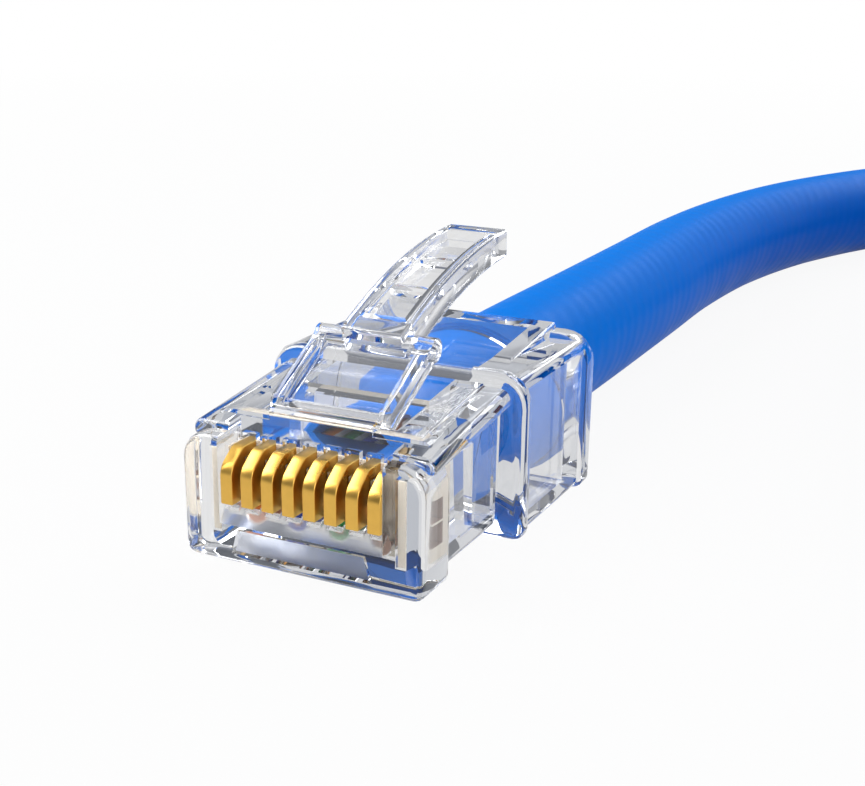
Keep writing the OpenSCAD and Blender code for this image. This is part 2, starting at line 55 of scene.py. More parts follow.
# Plug, in millimetres: X across the contacts, Y back along the cable from the front
# face, Z up from the surface it rests on
PLUG_L = 17.5
NOSE_W = 11.68
TIP_L = 2.6
NOSE_LIFT = 0.3
TIP_TOP = 6.0
NECK_W = 10.48
NECK_Z = 0.4
NECK_TOP = 6.6
SHOULDER_Y = 8.6
RIB_L = 0.9
RIB_Y = SHOULDER_Y + RIB_L
RIM_L = 1.2
REAR_W = 13.2
REAR_H = 7.6
RIB_TOP = REAR_H + 0.2
RIM_TOP = REAR_H + 0.3
SIDE_RECESS = 0.25
TOP_SLOPE = math.radians(6.3)
DECK_Z = TIP_TOP + 0.2
DECK_Y = 0.9
DECK_T = 0.8
PLATE_W = 9.2
PLATE_T = 1.1
PLATE_RISE = 0.12
SLACK = 0.05
CORNER_R = 0.5                      # common rounding of a block, seen from the front
TIP_R = 1.2                         # upper corners of the tip
REAR_R = 1.5                        # upper corners of the rib and the rim
DECK_R = 0.2                        # corners and edges of the deck and its plate
REAR_EDGE = 0.9                     # edge rounding of rib and rim, as a share of the tip's
LAP = 0.4                           # how far fused blocks reach into each other
SMALL_LAP = 0.1
CUT_LAP = 0.2                       # and cutters
PAST = 1.0                          # how far a cutter stands out of what it cuts

# Contacts, wires and load bar
WIRES = 8
PITCH = 1.02
BLADE_T = 0.6
BLADE_Z = 2.97
BLADE_TOP = 5.35
BLADE_Y = 2.4
PLATE_Y0 = BLADE_Y - 0.2
PLATE_Y1 = PLUG_L - 0.3
BLADE_SLOPE = math.radians(38)      # shoulder of a blade, between two roundings
FRONT_R = 0.8
FRONT_Z = BLADE_TOP - 0.75
CREST_R = 0.5
CREST_SHIFT = 0.22
TEETH = (0.35, 0.95)                # places of a blade's two teeth, from its back
TOOTH_W = 0.3
WINDOW_W = (WIRES - 1) * PITCH + BLADE_T + 0.2
WINDOW_Z = BLADE_Z - 0.85
WINDOW_BACK = BLADE_Y - 0.5
WINDOW_STEP = 1.2                   # back end of the ledge over the sill
DIVIDER_Y = 1.0
DIVIDER_W = PITCH - BLADE_T - 2 * SLACK
DIVIDER_TOP = BLADE_TOP - 0.45
FOOT_Z = 2.84                       # rounded lower ends of the blades' slots
FOOT_L = 0.9
SILL_LOW = 2.05                     # bevel of the sill under the blades
SILL_HIGH = 2.87
SILL_Y = 0.55
PANEL_DEPTH = 0.3                   # sunk panel of the front, with slanting ends
PANEL_W = 6.8
PANEL_TOP_W = 6.2
PANEL_Z0 = NOSE_LIFT + 0.45
PANEL_Z1 = BLADE_Z - 1.1
WIRE_D = 1.0
CORE_D = 0.5
ROW_LOW = BLADE_Z - 0.62
ROW_STEP = WIRE_D + 0.1
WIRE_Y0 = 1.0
BAR_Y0 = BLADE_Y + 0.2
BAR_Y1 = BAR_Y0 + 1.6
CHEEK_X = WINDOW_W / 2 + 0.33
CHEEK_W = 0.4
CHEEK_Y = 1.1
CHEEK_MID = CHEEK_X + CHEEK_W / 2
CHEEK_LAP = 0.3
BAR_W = 2 * (CHEEK_X + CHEEK_W)
BAR_Z0 = ROW_LOW - WIRE_D / 2 - 0.4
BAR_Z1 = BLADE_TOP - 0.15
SIGHT_Y = CHEEK_Y + 0.55            # two-tier sights in the cheeks
SIGHT_Z = ROW_LOW - 0.25
SIGHT_STEP = 1.05
SIGHT_H = 0.95
INNER_PITCH = 0.52                  # wires inside the cable
INNER_Z = 0.66
WIRE_STEPS = 12
WIRE_SIDES = 20
SOFT_EDGE = 0.08                    # rounding of the load bar and the tongue

# How rough the marked faces of the clear bodies are, as a share of FROST_ROUGH
FROST_FULL = 1.0
FROST_SILL = 0.6
FROST_BACK = 0.15
FROST_ROUGH = 0.5
NEAR = 0.02                         # a face this close to a plane lies on it

# Cable inside the plug
CABLE_Z = 3.7
GRIP_D = 6.7
JACKET_T = 0.6
JACKET_FRONT_T = 0.4
JACKET_Y = 6.4
JACKET_EDGE = 0.12
FRONT_D = GRIP_D - 1.0
SQUEEZE_Y = RIB_Y + SLACK
SQUEEZE_L = 1.2
SQUEEZE_STEPS = 8
CEILING_T = 0.22                    # top wall over the bore
BORE_PLAY = 0.3                     # spare width of the bore
BORE_END = PLUG_L - RIM_L - 0.1     # behind this the bore is round
RELIEF_Y = SHOULDER_Y + 3.2
RELIEF_L = 2.4
RELIEF_W = 4.4
RELIEF_TOP = CABLE_Z - GRIP_D / 2 + 0.4
RELIEF_LOW = 0.15

# Latch
FLAP_W = 5.9
FLAP_T = 0.6
FLAP_L = 4.4
FLAP_SLOPE = math.radians(28)
RAIL_W = 0.65
RAIL_T = 0.95
EAR_R = 0.55
LEVER_W = 3.2
LEVER_T = 1.7
LEVER_END_T = LEVER_T - 0.3
LEVER_L = 11.26
LEVER_SLOPE = math.radians(26)
LEVER_END_SLOPE = math.radians(3)
LEVER_R = LEVER_L / (LEVER_SLOPE - LEVER_END_SLOPE)
LEVER_ROOT = 0.3                    # how far the lever reaches into the ears
LEVER_EDGE = 0.16
END_R = 0.55                        # rounding of its end, seen from above
END_ZONE = 0.35                     # edges this close to an end belong to it
LATCH_EDGE = 0.1
GUSSET_W = 0.35
RIM_W = 0.45
RIM_END = 1.2
RIM_START = 0.9
RIM_RISE = 0.5
BAYS = 3
BAY_SINK = 0.35
BAY_INSET = 0.1
BAY_R = 0.3
BAY_TOP = 4                         # height of the bays' cutters, in half thicknesses
RIB_GAP = 0.5
HINGE_Y = 3.1
HINGE_Z = TIP_TOP + 0.9
HINGE_R = RAIL_T / 2
HINGE_GAP = 0.06
TROUGH_W = FLAP_W + 0.6
CHANNEL_L = 2.4
ROOT_FROM = (HINGE_Y - 1.5, TIP_TOP - 0.1)
ROOT_TO = (HINGE_Y - 0.85, HINGE_Z - 0.3)
ROOT_T = 0.8
ROOT_W = FLAP_W - 0.9
DOT = 0.001                         # a bar this long is a round
EAR_Y = HINGE_Y + FLAP_L * math.cos(FLAP_SLOPE)
EAR_Z = HINGE_Z + FLAP_L * math.sin(FLAP_SLOPE)

# Places of the plugs and of the coil
PLUG_REACH = (EAR_Y + LEVER_R * (math.sin(LEVER_SLOPE) - math.sin(LEVER_END_SLOPE))
              + math.sin(LEVER_END_SLOPE) * LEVER_END_T / 2)
NEAR_Y = -PLUG_REACH / 2
CABLE_D = 7.3
CABLE_R = CABLE_D / 2
LAYER = CABLE_D + 0.45
COIL_AT = (63.5, 54.0)
COIL_R = 43.5
COIL_TURNS = 3.5
COIL_BACK = COIL_TURNS / 2
TIE_T = 0.8
TIE_W = 8.0
TIE_ANGLE = 10.0
TIE_LIFT = TIE_T + 0.2
TIE_GAP = 0.3
TIE_R = 2.2
TIE_BORE_R = 1.5
TIE_EDGE = 0.22
TIE_FLAT = 12.0                     # degrees from the tie where the turns are still lifted
TIE_RAMP = 30.0                     # and over which they come down
COIL_RISE = 0.5                     # turns over which the coil rises to its second layer
COIL_STEPS = 24                     # points to a turn
CORD_STEP = 1.5                     # space between the points of the two ends
COIL_STEP = 2.2
FAR_AT = (74.5, 87.5)
FAR_LIFT = CABLE_D + LAYER + 0.3
FAR_TURN = math.radians(70)
FAR_WAY = (math.sin(FAR_TURN), -math.cos(FAR_TURN), 0)

LEAD_ROUTE = [
    (0, NEAR_Y + PLUG_L, CABLE_Z), (0, 17, CABLE_Z), (0, 26, CABLE_R), (0, 36, CABLE_R),
    (0, 46, CABLE_R), (1, 58, CABLE_R), (4, 70.5, CABLE_R), (11, 84.5, CABLE_R),
    (19, 92, CABLE_R), (28.5, 96.4, CABLE_R), (38.5, COIL_AT[1] + COIL_R, CABLE_R),
    (51, COIL_AT[1] + COIL_R, CABLE_R), (COIL_AT[0], COIL_AT[1] + COIL_R, CABLE_R),
]
TAIL_ROUTE = [
    (COIL_AT[0], COIL_AT[1] - COIL_R, CABLE_R + LAYER), (46.5, 13.2, 11.7),
    (32.2, 22.7, 12.5), (22.2, 37, 13.8), (17.9, 54, 15.4), (20, 66.7, 16.4),
    (24.3, 76.8, 17.2), (31.7, 85.3, 18.1), (41.8, 91.1, 18.8),
    (52.9, 93.2, FAR_LIFT + CABLE_Z), (64.6, 91.1, FAR_LIFT + CABLE_Z),
    (FAR_AT[0], FAR_AT[1], FAR_LIFT + CABLE_Z),
]

WIRE_NODES = [
    "near_wire_1_white_orange", "near_wire_2_orange", "near_wire_3_white_green",
    "near_wire_4_blue", "near_wire_5_white_blue", "near_wire_6_green",
    "near_wire_7_white_brown", "near_wire_8_brown",
]
# Base and stripe colour of each wire
WIRE_COLOURS = [
    ((0.86, 0.80, 0.74), (0.82, 0.22, 0.02)), ((0.82, 0.22, 0.02), (0.80, 0.20, 0.02)),
    ((0.80, 0.84, 0.78), (0.02, 0.28, 0.06)), ((0.02, 0.06, 0.45), (0.02, 0.05, 0.42)),
    ((0.78, 0.82, 0.88), (0.03, 0.08, 0.48)), ((0.02, 0.28, 0.06), (0.02, 0.26, 0.05)),
    ((0.82, 0.76, 0.70), (0.20, 0.07, 0.02)), ((0.20, 0.07, 0.02), (0.18, 0.06, 0.02)),
]

# Grain of each material: scale, lowest and highest roughness, strength and height in metres
GRAINS = {
    "polycarbonate": (260.0, 0.0, 0.012, 0.05, 0.000004),
    "latch_polycarbonate": (260.0, 0.0, 0.02, 0.05, 0.000004),
    "gold_plate": (2600.0, 0.26, 0.38, 0.12, 0.00002),
    "copper_wire": (3000.0, 0.28, 0.42, 0.1, 0.00001),
    "jacket_vinyl": (1800.0, 0.36, 0.46, 0.1, 0.00002),
    "insulation": (2500.0, 0.3, 0.42, 0.1, 0.00001),
    "load_bar_plastic": (2200.0, 0.4, 0.55, 0.15, 0.00003),
    "tie_cloth": (4500.0, 0.8, 0.95, 0.8, 0.00015),
}
CLEAR_IOR = 1.58
CLEAR_TINT = (0.6, 0.63, 0.68, 1)
CLEAR_DENSITY = {"polycarbonate": 40.0, "latch_polycarbonate": 50.0}
DEEP_TINT = (0.88, 0.89, 0.91, 1)
SHADOW_TINT = (0.96, 0.965, 0.97, 1)
DEEP_RAYS = (("Glossy Depth", 2.5), ("Transmission Depth", 7.5))
COPPER, COPPER_DARK = (0.86, 0.45, 0.26), (0.7, 0.32, 0.17)
# Painted reflection of the brown last wire, put on the walls of the load bar's sights
PAINTED_WIRE_REFLECTION_BROWN = (0.24, 0.13, 0.09)
STRIPE_HALF = 0.11                  # half width of a wire's stripe, in turns

# Grey of the room at heights from straight down, -1, to straight up, 1
ROOM_GREYS = (
    (-1, (0.85, 0.85, 0.86)), (-0.05, (0.6, 0.61, 0.63)), (0.02, (0.2, 0.21, 0.23)),
    (0.42, (0.14, 0.15, 0.17)), (0.56, (0.3, 0.31, 0.34)), (0.76, (0.9, 0.9, 0.91)),
    (0.87, (0.5, 0.5, 0.52)), (1, (0.8, 0.8, 0.8)),
)
PANELS = 3
PANEL_GREY = (1.15, 1.15, 1.15, 1)
SHADE, SHADE_STRENGTH = (0.93, 0.96, 1.0, 1), 0.44
FLOOR_GREY = (0.62, 0.62, 0.63, 1)
FLOOR_GLOW = 0.93                   # share of its glow near the cable, where shade shows
MIRROR_DIM = 0.18                   # how much darker a mirror image of the floor is
# Lamps: name, place, aim, size, power and colour
LAMPS = (
    ("key", (-0.235, -0.07, 0.22), (0, 0.01, 0), (0.24, 0.24), 1.0, (1, 0.99, 0.97)),
    ("fill", (0.25, -0.22, 0.16), (0, 0.01, 0), (0.2, 0.2), 0.35, (0.96, 0.98, 1)),
    ("rear", (0.1, 0.3, 0.22), (0, 0.05, 0), (0.25, 0.12), 0.5, (1, 1, 1)),
)

CAMERA = {"azimuth": 27.68, "elevation": 19.8, "roll": 0.18, "distance": 64.32,
          "focal_px": 1380.9, "offset_px": (-45.3, 68.66), "target": (0, 8, 3)}
PICTURE_W = 865
SENSOR_W = 36.0


# ---- Modelling helpers ------------------------------------------------------

def deselect():
    if bpy.context.object and bpy.context.object.mode != "OBJECT":
        bpy.ops.object.mode_set(mode="OBJECT")
    bpy.ops.object.select_all(action="DESELECT")


def pick(obj, *others):
    """Selects these objects alone, the first one active."""
    deselect()
    for o in (obj, *others):
        o.select_set(True)
    bpy.context.view_layer.objects.active = obj


def settle(obj):
    """Puts an object's place into its mesh."""
    pick(obj)
    bpy.ops.object.transform_apply(location=True, rotation=True, scale=True)
    return obj


def named(name):
    """The object just made, under this name."""
    obj = bpy.context.object
    obj.name = obj.data.name = name
    return obj


def edit_all(obj):
    """Opens an object's mesh for editing, all of it selected."""
    pick(obj)
    bpy.ops.object.mode_set(mode="EDIT")
    bpy.ops.mesh.select_all(action="SELECT")


def close_solid(obj):
    """Turns all faces outward and ends the editing."""
    bpy.ops.mesh.select_all(action="SELECT")
    bpy.ops.mesh.normals_make_consistent(inside=False)
    bpy.ops.object.mode_set(mode="OBJECT")
    return settle(obj)


def outline(name, points):
    """A flat face with these corner points, in millimetres."""
    deselect()
    bpy.ops.mesh.primitive_circle_add(vertices=len(points), fill_type="NGON")
    obj = named(name)
    for v, p in zip(obj.data.vertices, points):
        v.co = Vector(p) * MM
    return obj


def drawn_out(name, points, along):
    """A solid: the outline of points, extruded by the vector along."""
    obj = outline(name, points)
    edit_all(obj)
    bpy.ops.mesh.extrude_region_move(
        TRANSFORM_OT_translate={"value": tuple(Vector(along) * MM)}
    )
    return close_solid(obj)


def along_y(name, view, y0, y1):
    """A front view, (x, z) points, drawn out from y0 to y1."""
    return drawn_out(name, [(x, y0, z) for x, z in view], (0, y1 - y0, 0))


def across_x(name, view, width, x=0.0):
    """A side view, (y, z) points, drawn out width wide about x."""
    return drawn_out(name, [(x - width / 2, y, z) for y, z in view], (width, 0, 0))


def rounded_view(w, z0, z1, r_top, r_low, steps=6):
    """Front view of a block with rounded corners."""
    points = []
    for cx, cz, r, start in (
        (w / 2 - r_top, z1 - r_top, r_top, 0), (-w / 2 + r_top, z1 - r_top, r_top, 90),
        (-w / 2 + r_low, z0 + r_low, r_low, 180), (w / 2 - r_low, z0 + r_low, r_low, 270),
    ):
        for k in range(steps + 1):
            a = math.radians(start + 90 * k / steps)
            points.append((cx + r * math.cos(a), cz + r * math.sin(a)))
    return points


def bar_view(start, end, t, steps=10):
    """Side view of a bar with round ends between two points."""
    run = math.atan2(end[1] - start[1], end[0] - start[0])
    points = []
    for centre, turn in ((end, -90), (start, 90)):
        for k in range(steps + 1):
            a = run + math.radians(turn + 180 * k / steps)
            points.append((centre[0] + t / 2 * math.cos(a), centre[1] + t / 2 * math.sin(a)))
    return points


def box(name, low, high):
    """A block between two corners."""
    deselect()
    size = [b - a for a, b in zip(low, high)]
    middle = [(a + b) / 2 * MM for a, b in zip(low, high)]
    bpy.ops.mesh.primitive_cube_add(size=MM, location=middle, scale=size)
    return settle(named(name))


def slab(name, x, width, low, high):
    """A block width wide about x, between two (y, z) corners."""
    return box(name, (x - width / 2, *low), (x + width / 2, *high))


def rod_y(name, x, z, d, y0, y1, sides=24):
    """A round rod along Y."""
    deselect()
    bpy.ops.mesh.primitive_cylinder_add(
        vertices=sides, radius=d / 2 * MM, depth=(y1 - y0) * MM,
        location=(x * MM, (y0 + y1) / 2 * MM, z * MM), rotation=(math.pi / 2, 0, 0),
    )
    return settle(named(name))


def joined(name, parts):
    """One object from several that don't touch."""
    pick(*parts)
    bpy.ops.object.join()
    return named(name)


def combine(obj, other, operation):
    """Adds or cuts away another solid, which is then gone."""
    pick(obj)
    mod = obj.modifiers.new("shape", "BOOLEAN")
    mod.operation = operation
    mod.solver = "EXACT"
    mod.object = other
    bpy.ops.object.modifier_apply(modifier=mod.name)
    bpy.data.objects.remove(other)
    return obj


def cut(obj, *cutters):
    for c in cutters:
        combine(obj, c, "DIFFERENCE")
    return obj


def fuse(obj, *others):
    for o in others:
        combine(obj, o, "UNION")
    return obj


def clean(obj):
    """Merges doubled corners and joins flat faces."""
    edit_all(obj)
    bpy.ops.mesh.remove_doubles(threshold=MERGE * MM)
    bpy.ops.mesh.dissolve_limited(angle_limit=FLAT)
    bpy.ops.object.mode_set(mode="OBJECT")
    return obj


def round_edges(obj, width, segments=2, angle=35.0, clamp=True):
    """Rounds every edge sharper than angle."""
    pick(obj)
    mod = obj.modifiers.new("edges", "BEVEL")
    mod.width = width * MM
    mod.segments = segments
    mod.limit_method = "ANGLE"
    mod.angle_limit = math.radians(angle)
    mod.use_clamp_overlap = clamp
    mod.miter_outer = "MITER_ARC"
    mod.harden_normals = False
    bpy.ops.object.modifier_apply(modifier=mod.name)
    return obj


def smooth(obj, angle):
    pick(obj)
    bpy.ops.object.shade_smooth_by_angle(angle=math.radians(angle))
    return obj


def spun(name, profile, x, z, steps=72):
    """A closed profile of (y, r) points turned about a line along Y."""
    obj = outline(name, [(x, y, z + r) for y, r in profile])
    edit_all(obj)
    bpy.ops.mesh.delete(type="ONLY_FACE")
    bpy.ops.mesh.select_all(action="SELECT")
    bpy.ops.mesh.spin(
        steps=steps, angle=2 * math.pi, center=(x * MM, 0, z * MM), axis=(0, 1, 0)
    )
    bpy.ops.mesh.select_all(action="SELECT")
    bpy.ops.mesh.remove_doubles(threshold=DOT * MM)
    return close_solid(obj)


def eased(s):
    return max(0.0, min(1.0, s)) ** 2 * (3 - 2 * max(0.0, min(1.0, s)))


def curve_through(points, first, last, step):
    """Points along one smooth curve through a route, about step apart."""
    pts = [Vector(p) for p in points]
    ends = [Vector(first).normalized(), Vector(last).normalized()]
    ways = []
    for i, p in enumerate(pts):
        if i in (0, len(pts) - 1):
            ways.append(ends[0 if i == 0 else 1])
        else:
            a, b = pts[i + 1] - p, p - pts[i - 1]
            ways.append((a.normalized() * b.length + b.normalized() * a.length).normalized())
    out = [pts[0]]
    for a, b, u, v in zip(pts, pts[1:], ways, ways[1:]):
        run = (b - a).length
        n = max(1, round(run / step))
        for k in range(1, n + 1):
            t = k / n
            out.append(
                (2 * t**3 - 3 * t**2 + 1) * a + (t**3 - 2 * t**2 + t) * run * u
                + (3 * t**2 - 2 * t**3) * b + (t**3 - t**2) * run * v
            )
    return out


def swept(name, points, radius, sides, bore=0.0, first=None, last=None):
    """A tube along points in millimetres, with lengthwise and round UVs."""
    pts = [Vector(p) * MM for p in points]
    mesh = bpy.data.meshes.new(name)
    bm = bmesh.new()
    uv = bm.loops.layers.uv.new("along")
    walls, travelled = [], [0.0]
    for a, b in zip(pts, pts[1:]):
        travelled.append(travelled[-1] + (b - a).length)
    up = Vector((0, 0, 1))
    for r in [radius] + ([bore] if bore else []):
        rings = []
        for i, p in enumerate(pts):
            a, b = pts[max(i - 1, 0)], pts[min(i + 1, len(pts) - 1)]
            way = (b - a).normalized()
            if i == 0 and first:
                way = Vector(first).normalized()
            if i == len(pts) - 1 and last:
                way = Vector(last).normalized()
            side = way.cross(up).normalized()
            top = side.cross(way)
            rings.append([
                bm.verts.new(p + r * MM * (side * math.sin(t) - top * math.cos(t)))
                for t in (2 * math.pi * k / sides for k in range(sides))
            ])
        walls.append(rings)
    for w, rings in enumerate(walls):
        for i in range(len(pts) - 1):
            for k in range(sides):
                n = (k + 1) % sides
                corners = [rings[i][k], rings[i + 1][k], rings[i + 1][n], rings[i][n]]
                place = [(i, k), (i + 1, k), (i + 1, k + 1), (i, k + 1)]
                if w:
                    corners.reverse()
                    place.reverse()
                f = bm.faces.new(corners)
                f.smooth = True
                for loop, (j, m) in zip(f.loops, place):
                    loop[uv].uv = (travelled[j] / MM, m / sides)
    for i in (0, -1):
        if bore:
            for k in range(sides):
                n = (k + 1) % sides
                corners = [walls[0][i][k], walls[0][i][n], walls[1][i][n], walls[1][i][k]]
                bm.faces.new(corners if i == 0 else corners[::-1])
        else:
            bm.faces.new(walls[0][i] if i == 0 else walls[0][i][::-1])
    bmesh.ops.recalc_face_normals(bm, faces=bm.faces)
    bm.to_mesh(mesh)
    bm.free()
    obj = bpy.data.objects.new(name, mesh)
    bpy.context.scene.collection.objects.link(obj)
    return obj


def moved(obj, matrix):
    obj.data.transform(matrix)
    obj.data.update()
    return obj


def near_matrix():
    return Matrix.Translation((0, NEAR_Y * MM, 0))


def far_matrix():
    return (
        Matrix.Translation((FAR_AT[0] * MM, FAR_AT[1] * MM, FAR_LIFT * MM))
        @ Matrix.Rotation(FAR_TURN, 4, "Z")
        @ Matrix.Translation((0, -PLUG_L * MM, 0))
    )


def placed_pair(obj, near_name, far_name):
    """The near piece, moved to its place, and its copy in the far plug."""
    obj.name = obj.data.name = near_name
    twin = bpy.data.objects.new(far_name, obj.data.copy())
    twin.data.name = far_name
    bpy.context.scene.collection.objects.link(twin)
    return moved(obj, near_matrix()), moved(twin, far_matrix())


def dress(obj, body, slot, *nodes):
    """The piece rides on its body and stands for these CAD nodes."""
    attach(obj, body)
    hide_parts(*nodes)
    return obj


def dress_pair(obj, piece, node, slot, bodies=("cable", "cable")):
    """Places a piece in both plugs, where it stands for the near and the far CAD node."""
    pair = placed_pair(obj, "near_" + piece, "far_" + piece)
    for placed, body, end in zip(pair, bodies, ("near_", "far_")):
        dress(placed, body, slot, end + node)


# ---- Materials --------------------------------------------------------------

def set_inputs(node, **values):
    """Sets sockets by name, with an underscore for each space."""
    for key, value in values.items():
        node.inputs[key.replace("_", " ")].default_value = value
    return node


def new_node(tree, kind, **values):
    """A shader node with these settings and socket values."""
    node = tree.nodes.new(kind)
    for key, value in values.items():
        if hasattr(node, key):
            setattr(node, key, value)
        else:
            set_inputs(node, **{key: value})
    return node


def math_node(tree, operation, *values):
    """A Math node, with values on its sockets from the second on."""
    node = new_node(tree, "ShaderNodeMath", operation=operation)
    for socket, value in zip(node.inputs[1:], values):
        socket.default_value = value
    return node


def connect(tree, *links):
    """Links sockets, each link given as node, output, node, input."""
    for start, output, end, socket in links:
        tree.links.new(start.outputs[output], end.inputs[socket])


def grain_group():
    """Fine uneven surface: a height, and a value that varies slowly."""
    group = bpy.data.node_groups.get("surface_grain")
    if group:
        return group
    group = bpy.data.node_groups.new("surface_grain", "ShaderNodeTree")
    for name, way, value in (
        ("Scale", "INPUT", 1500.0), ("Low", "INPUT", 0.2), ("High", "INPUT", 0.3),
        ("Height", "OUTPUT", 0.0), ("Value", "OUTPUT", 0.0),
    ):
        socket = group.interface.new_socket(name, in_out=way, socket_type="NodeSocketFloat")
        socket.default_value = value
    given = group.nodes.new("NodeGroupInput")
    out = group.nodes.new("NodeGroupOutput")
    where = group.nodes.new("ShaderNodeTexCoord")
    fine = new_node(group, "ShaderNodeTexNoise", Detail=4.0, Roughness=0.6)
    slow = new_node(group, "ShaderNodeTexNoise", Detail=2.0, Roughness=0.5)
    fifth = math_node(group, "MULTIPLY", 0.2)
    spread = new_node(group, "ShaderNodeMapRange", From_Min=0.3, From_Max=0.7)
    connect(
        group, (where, "Object", fine, "Vector"), (where, "Object", slow, "Vector"),
        (given, "Scale", fine, "Scale"), (given, "Scale", fifth, 0),
        (fifth, 0, slow, "Scale"), (slow, "Fac", spread, "Value"),
        (given, "Low", spread, "To Min"), (given, "High", spread, "To Max"),
        (fine, "Fac", out, "Height"), (spread, "Result", out, "Value"),
    )
    return group


def plain_material(name):
    """A material with its nodes and shader, or with None twice if it was there already."""
    mat = bpy.data.materials.get(name)
    if mat:
        return mat, None, None
    mat = bpy.data.materials.new(name)
    mat.use_nodes = True
    return mat, mat.node_tree, mat.node_tree.nodes["Principled BSDF"]


def grained(tree, bsdf, kind):
    """Feeds a material's roughness and normal from the grain group."""
    scale, low, high, strength, distance = GRAINS[kind]
    grain = tree.nodes.new("ShaderNodeGroup")
    grain.node_tree = grain_group()
    set_inputs(grain, Scale=scale, Low=low, High=high)
    bump = new_node(tree, "ShaderNodeBump", Strength=strength, Distance=distance)
    connect(tree, (grain, "Height", bump, "Height"), (grain, "Value", bsdf, "Roughness"),
            (bump, "Normal", bsdf, "Normal"))
    return grain, bump


def two_tone(tree, bsdf, fac, colour_a, colour_b):
    """Gives a material a colour between two, by the value of a socket."""
    mix = new_node(tree, "ShaderNodeMix", data_type="RGBA", A=(*colour_a, 1),
                   B=(*colour_b, 1))
    tree.links.new(fac, mix.inputs["Factor"])
    connect(tree, (mix, "Result", bsdf, "Base Color"))
    return mix


def times(colour, share):
    return [c * share for c in colour]


def mottled(name, colour, other, **values):
    """A grained material between two colours, with these values on its shader."""
    mat, tree, bsdf = plain_material(name)
    if tree is not None:
        grain, _ = grained(tree, bsdf, name)
        two_tone(tree, bsdf, grain.outputs["Height"], colour, other)
        set_inputs(bsdf, **values)
    return mat


def gold_plate(colours):
    return mottled("gold_plate", colours.gold, times(colours.gold, 0.82), Metallic=1.0)


def copper_wire():
    return mottled("copper_wire", COPPER, COPPER_DARK, Metallic=1.0)


def tie_cloth(colours):
    """Woven hook-and-loop tape."""
    return mottled("tie_cloth", colours.tie, times(colours.tie, 2.2), Sheen_Weight=0.4)


def clear_plastic(name):
    """Clear polycarbonate that lets lamps reach what is inside it."""
    mat, tree, bsdf = plain_material(name)
    if tree is None:
        return mat
    set_inputs(bsdf, Base_Color=(1.0, 1.0, 1.0, 1), Transmission_Weight=1.0, IOR=CLEAR_IOR)
    grain, _ = grained(tree, bsdf, name)
    # Faces marked with frost, where the mould is rough
    mark = new_node(tree, "ShaderNodeAttribute", attribute_name="frost")
    frosted = math_node(tree, "MULTIPLY_ADD", FROST_ROUGH)
    path = tree.nodes.new("ShaderNodeLightPath")
    through = tree.nodes.new("ShaderNodeBsdfTransparent")
    tint = new_node(tree, "ShaderNodeMix", data_type="RGBA", A=DEEP_TINT, B=SHADOW_TINT)
    # Shadow rays, and light reflected many times inside, go straight on
    fac = path.outputs["Is Shadow Ray"]
    for depth, most in DEEP_RAYS:
        deep = math_node(tree, "GREATER_THAN", most)
        either = math_node(tree, "MAXIMUM")
        connect(tree, (path, depth, deep, 0), (deep, 0, either, 0))
        tree.links.new(fac, either.inputs[1])
        fac = either.outputs[0]
    mix = tree.nodes.new("ShaderNodeMixShader")
    haze = new_node(tree, "ShaderNodeVolumeAbsorption", Color=CLEAR_TINT,
                    Density=CLEAR_DENSITY[name])
    out = tree.nodes["Material Output"]
    tree.links.new(fac, mix.inputs["Fac"])
    connect(
        tree, (mark, "Fac", frosted, 0), (grain, "Value", frosted, 2),
        (frosted, 0, bsdf, "Roughness"), (path, "Is Shadow Ray", tint, "Factor"),
        (tint, "Result", through, "Color"), (bsdf, "BSDF", mix, 1), (through, "BSDF", mix, 2),
        (mix, "Shader", out, "Surface"), (haze, "Volume", out, "Volume"),
    )
    return mat


def jacket_vinyl(colours):
    """Soft-sheen vinyl, with faint rings from the drawing of the jacket."""
    mat, tree, bsdf = plain_material("jacket_vinyl")
    if tree is None:
        return mat
    grain, bump = grained(tree, bsdf, "jacket_vinyl")
    two_tone(tree, bsdf, grain.outputs["Height"], colours.jacket, times(colours.jacket, 0.9))
    set_inputs(bsdf, Specular_IOR_Level=0.03)
    lay = new_node(tree, "ShaderNodeUVMap", uv_map="along")
    stretch = new_node(tree, "ShaderNodeMapping", Scale=(1.0, 23.0, 1.0),
                       Rotation=(0, 0, math.radians(24)))
    rings = new_node(tree, "ShaderNodeTexWave", Scale=0.24, Distortion=4.0, Detail=1.0,
                     Detail_Scale=0.6)
    raised = new_node(tree, "ShaderNodeBump", Strength=0.35, Distance=0.00004)
    connect(tree, (lay, "UV", stretch, "Vector"), (stretch, "Vector", rings, "Vector"),
            (rings, "Fac", raised, "Height"), (bump, "Normal", raised, "Normal"),
            (raised, "Normal", bsdf, "Normal"))
    return mat


def wire_insulation(k):
    """One wire's colour, with a stripe along it where it is a white wire."""
    mat, tree, bsdf = plain_material("insulation_%d" % (k + 1))
    if tree is None:
        return mat
    grained(tree, bsdf, "insulation")
    lay = new_node(tree, "ShaderNodeUVMap", uv_map="along")
    split = tree.nodes.new("ShaderNodeSeparateXYZ")
    off = math_node(tree, "SUBTRACT", 0.5)
    size = math_node(tree, "ABSOLUTE")
    band = math_node(tree, "LESS_THAN", STRIPE_HALF)
    connect(tree, (lay, "UV", split, "Vector"), (split, "Y", off, 0), (off, 0, size, 0),
            (size, 0, band, 0))
    two_tone(tree, bsdf, band.outputs[0], *WIRE_COLOURS[k])
    return mat


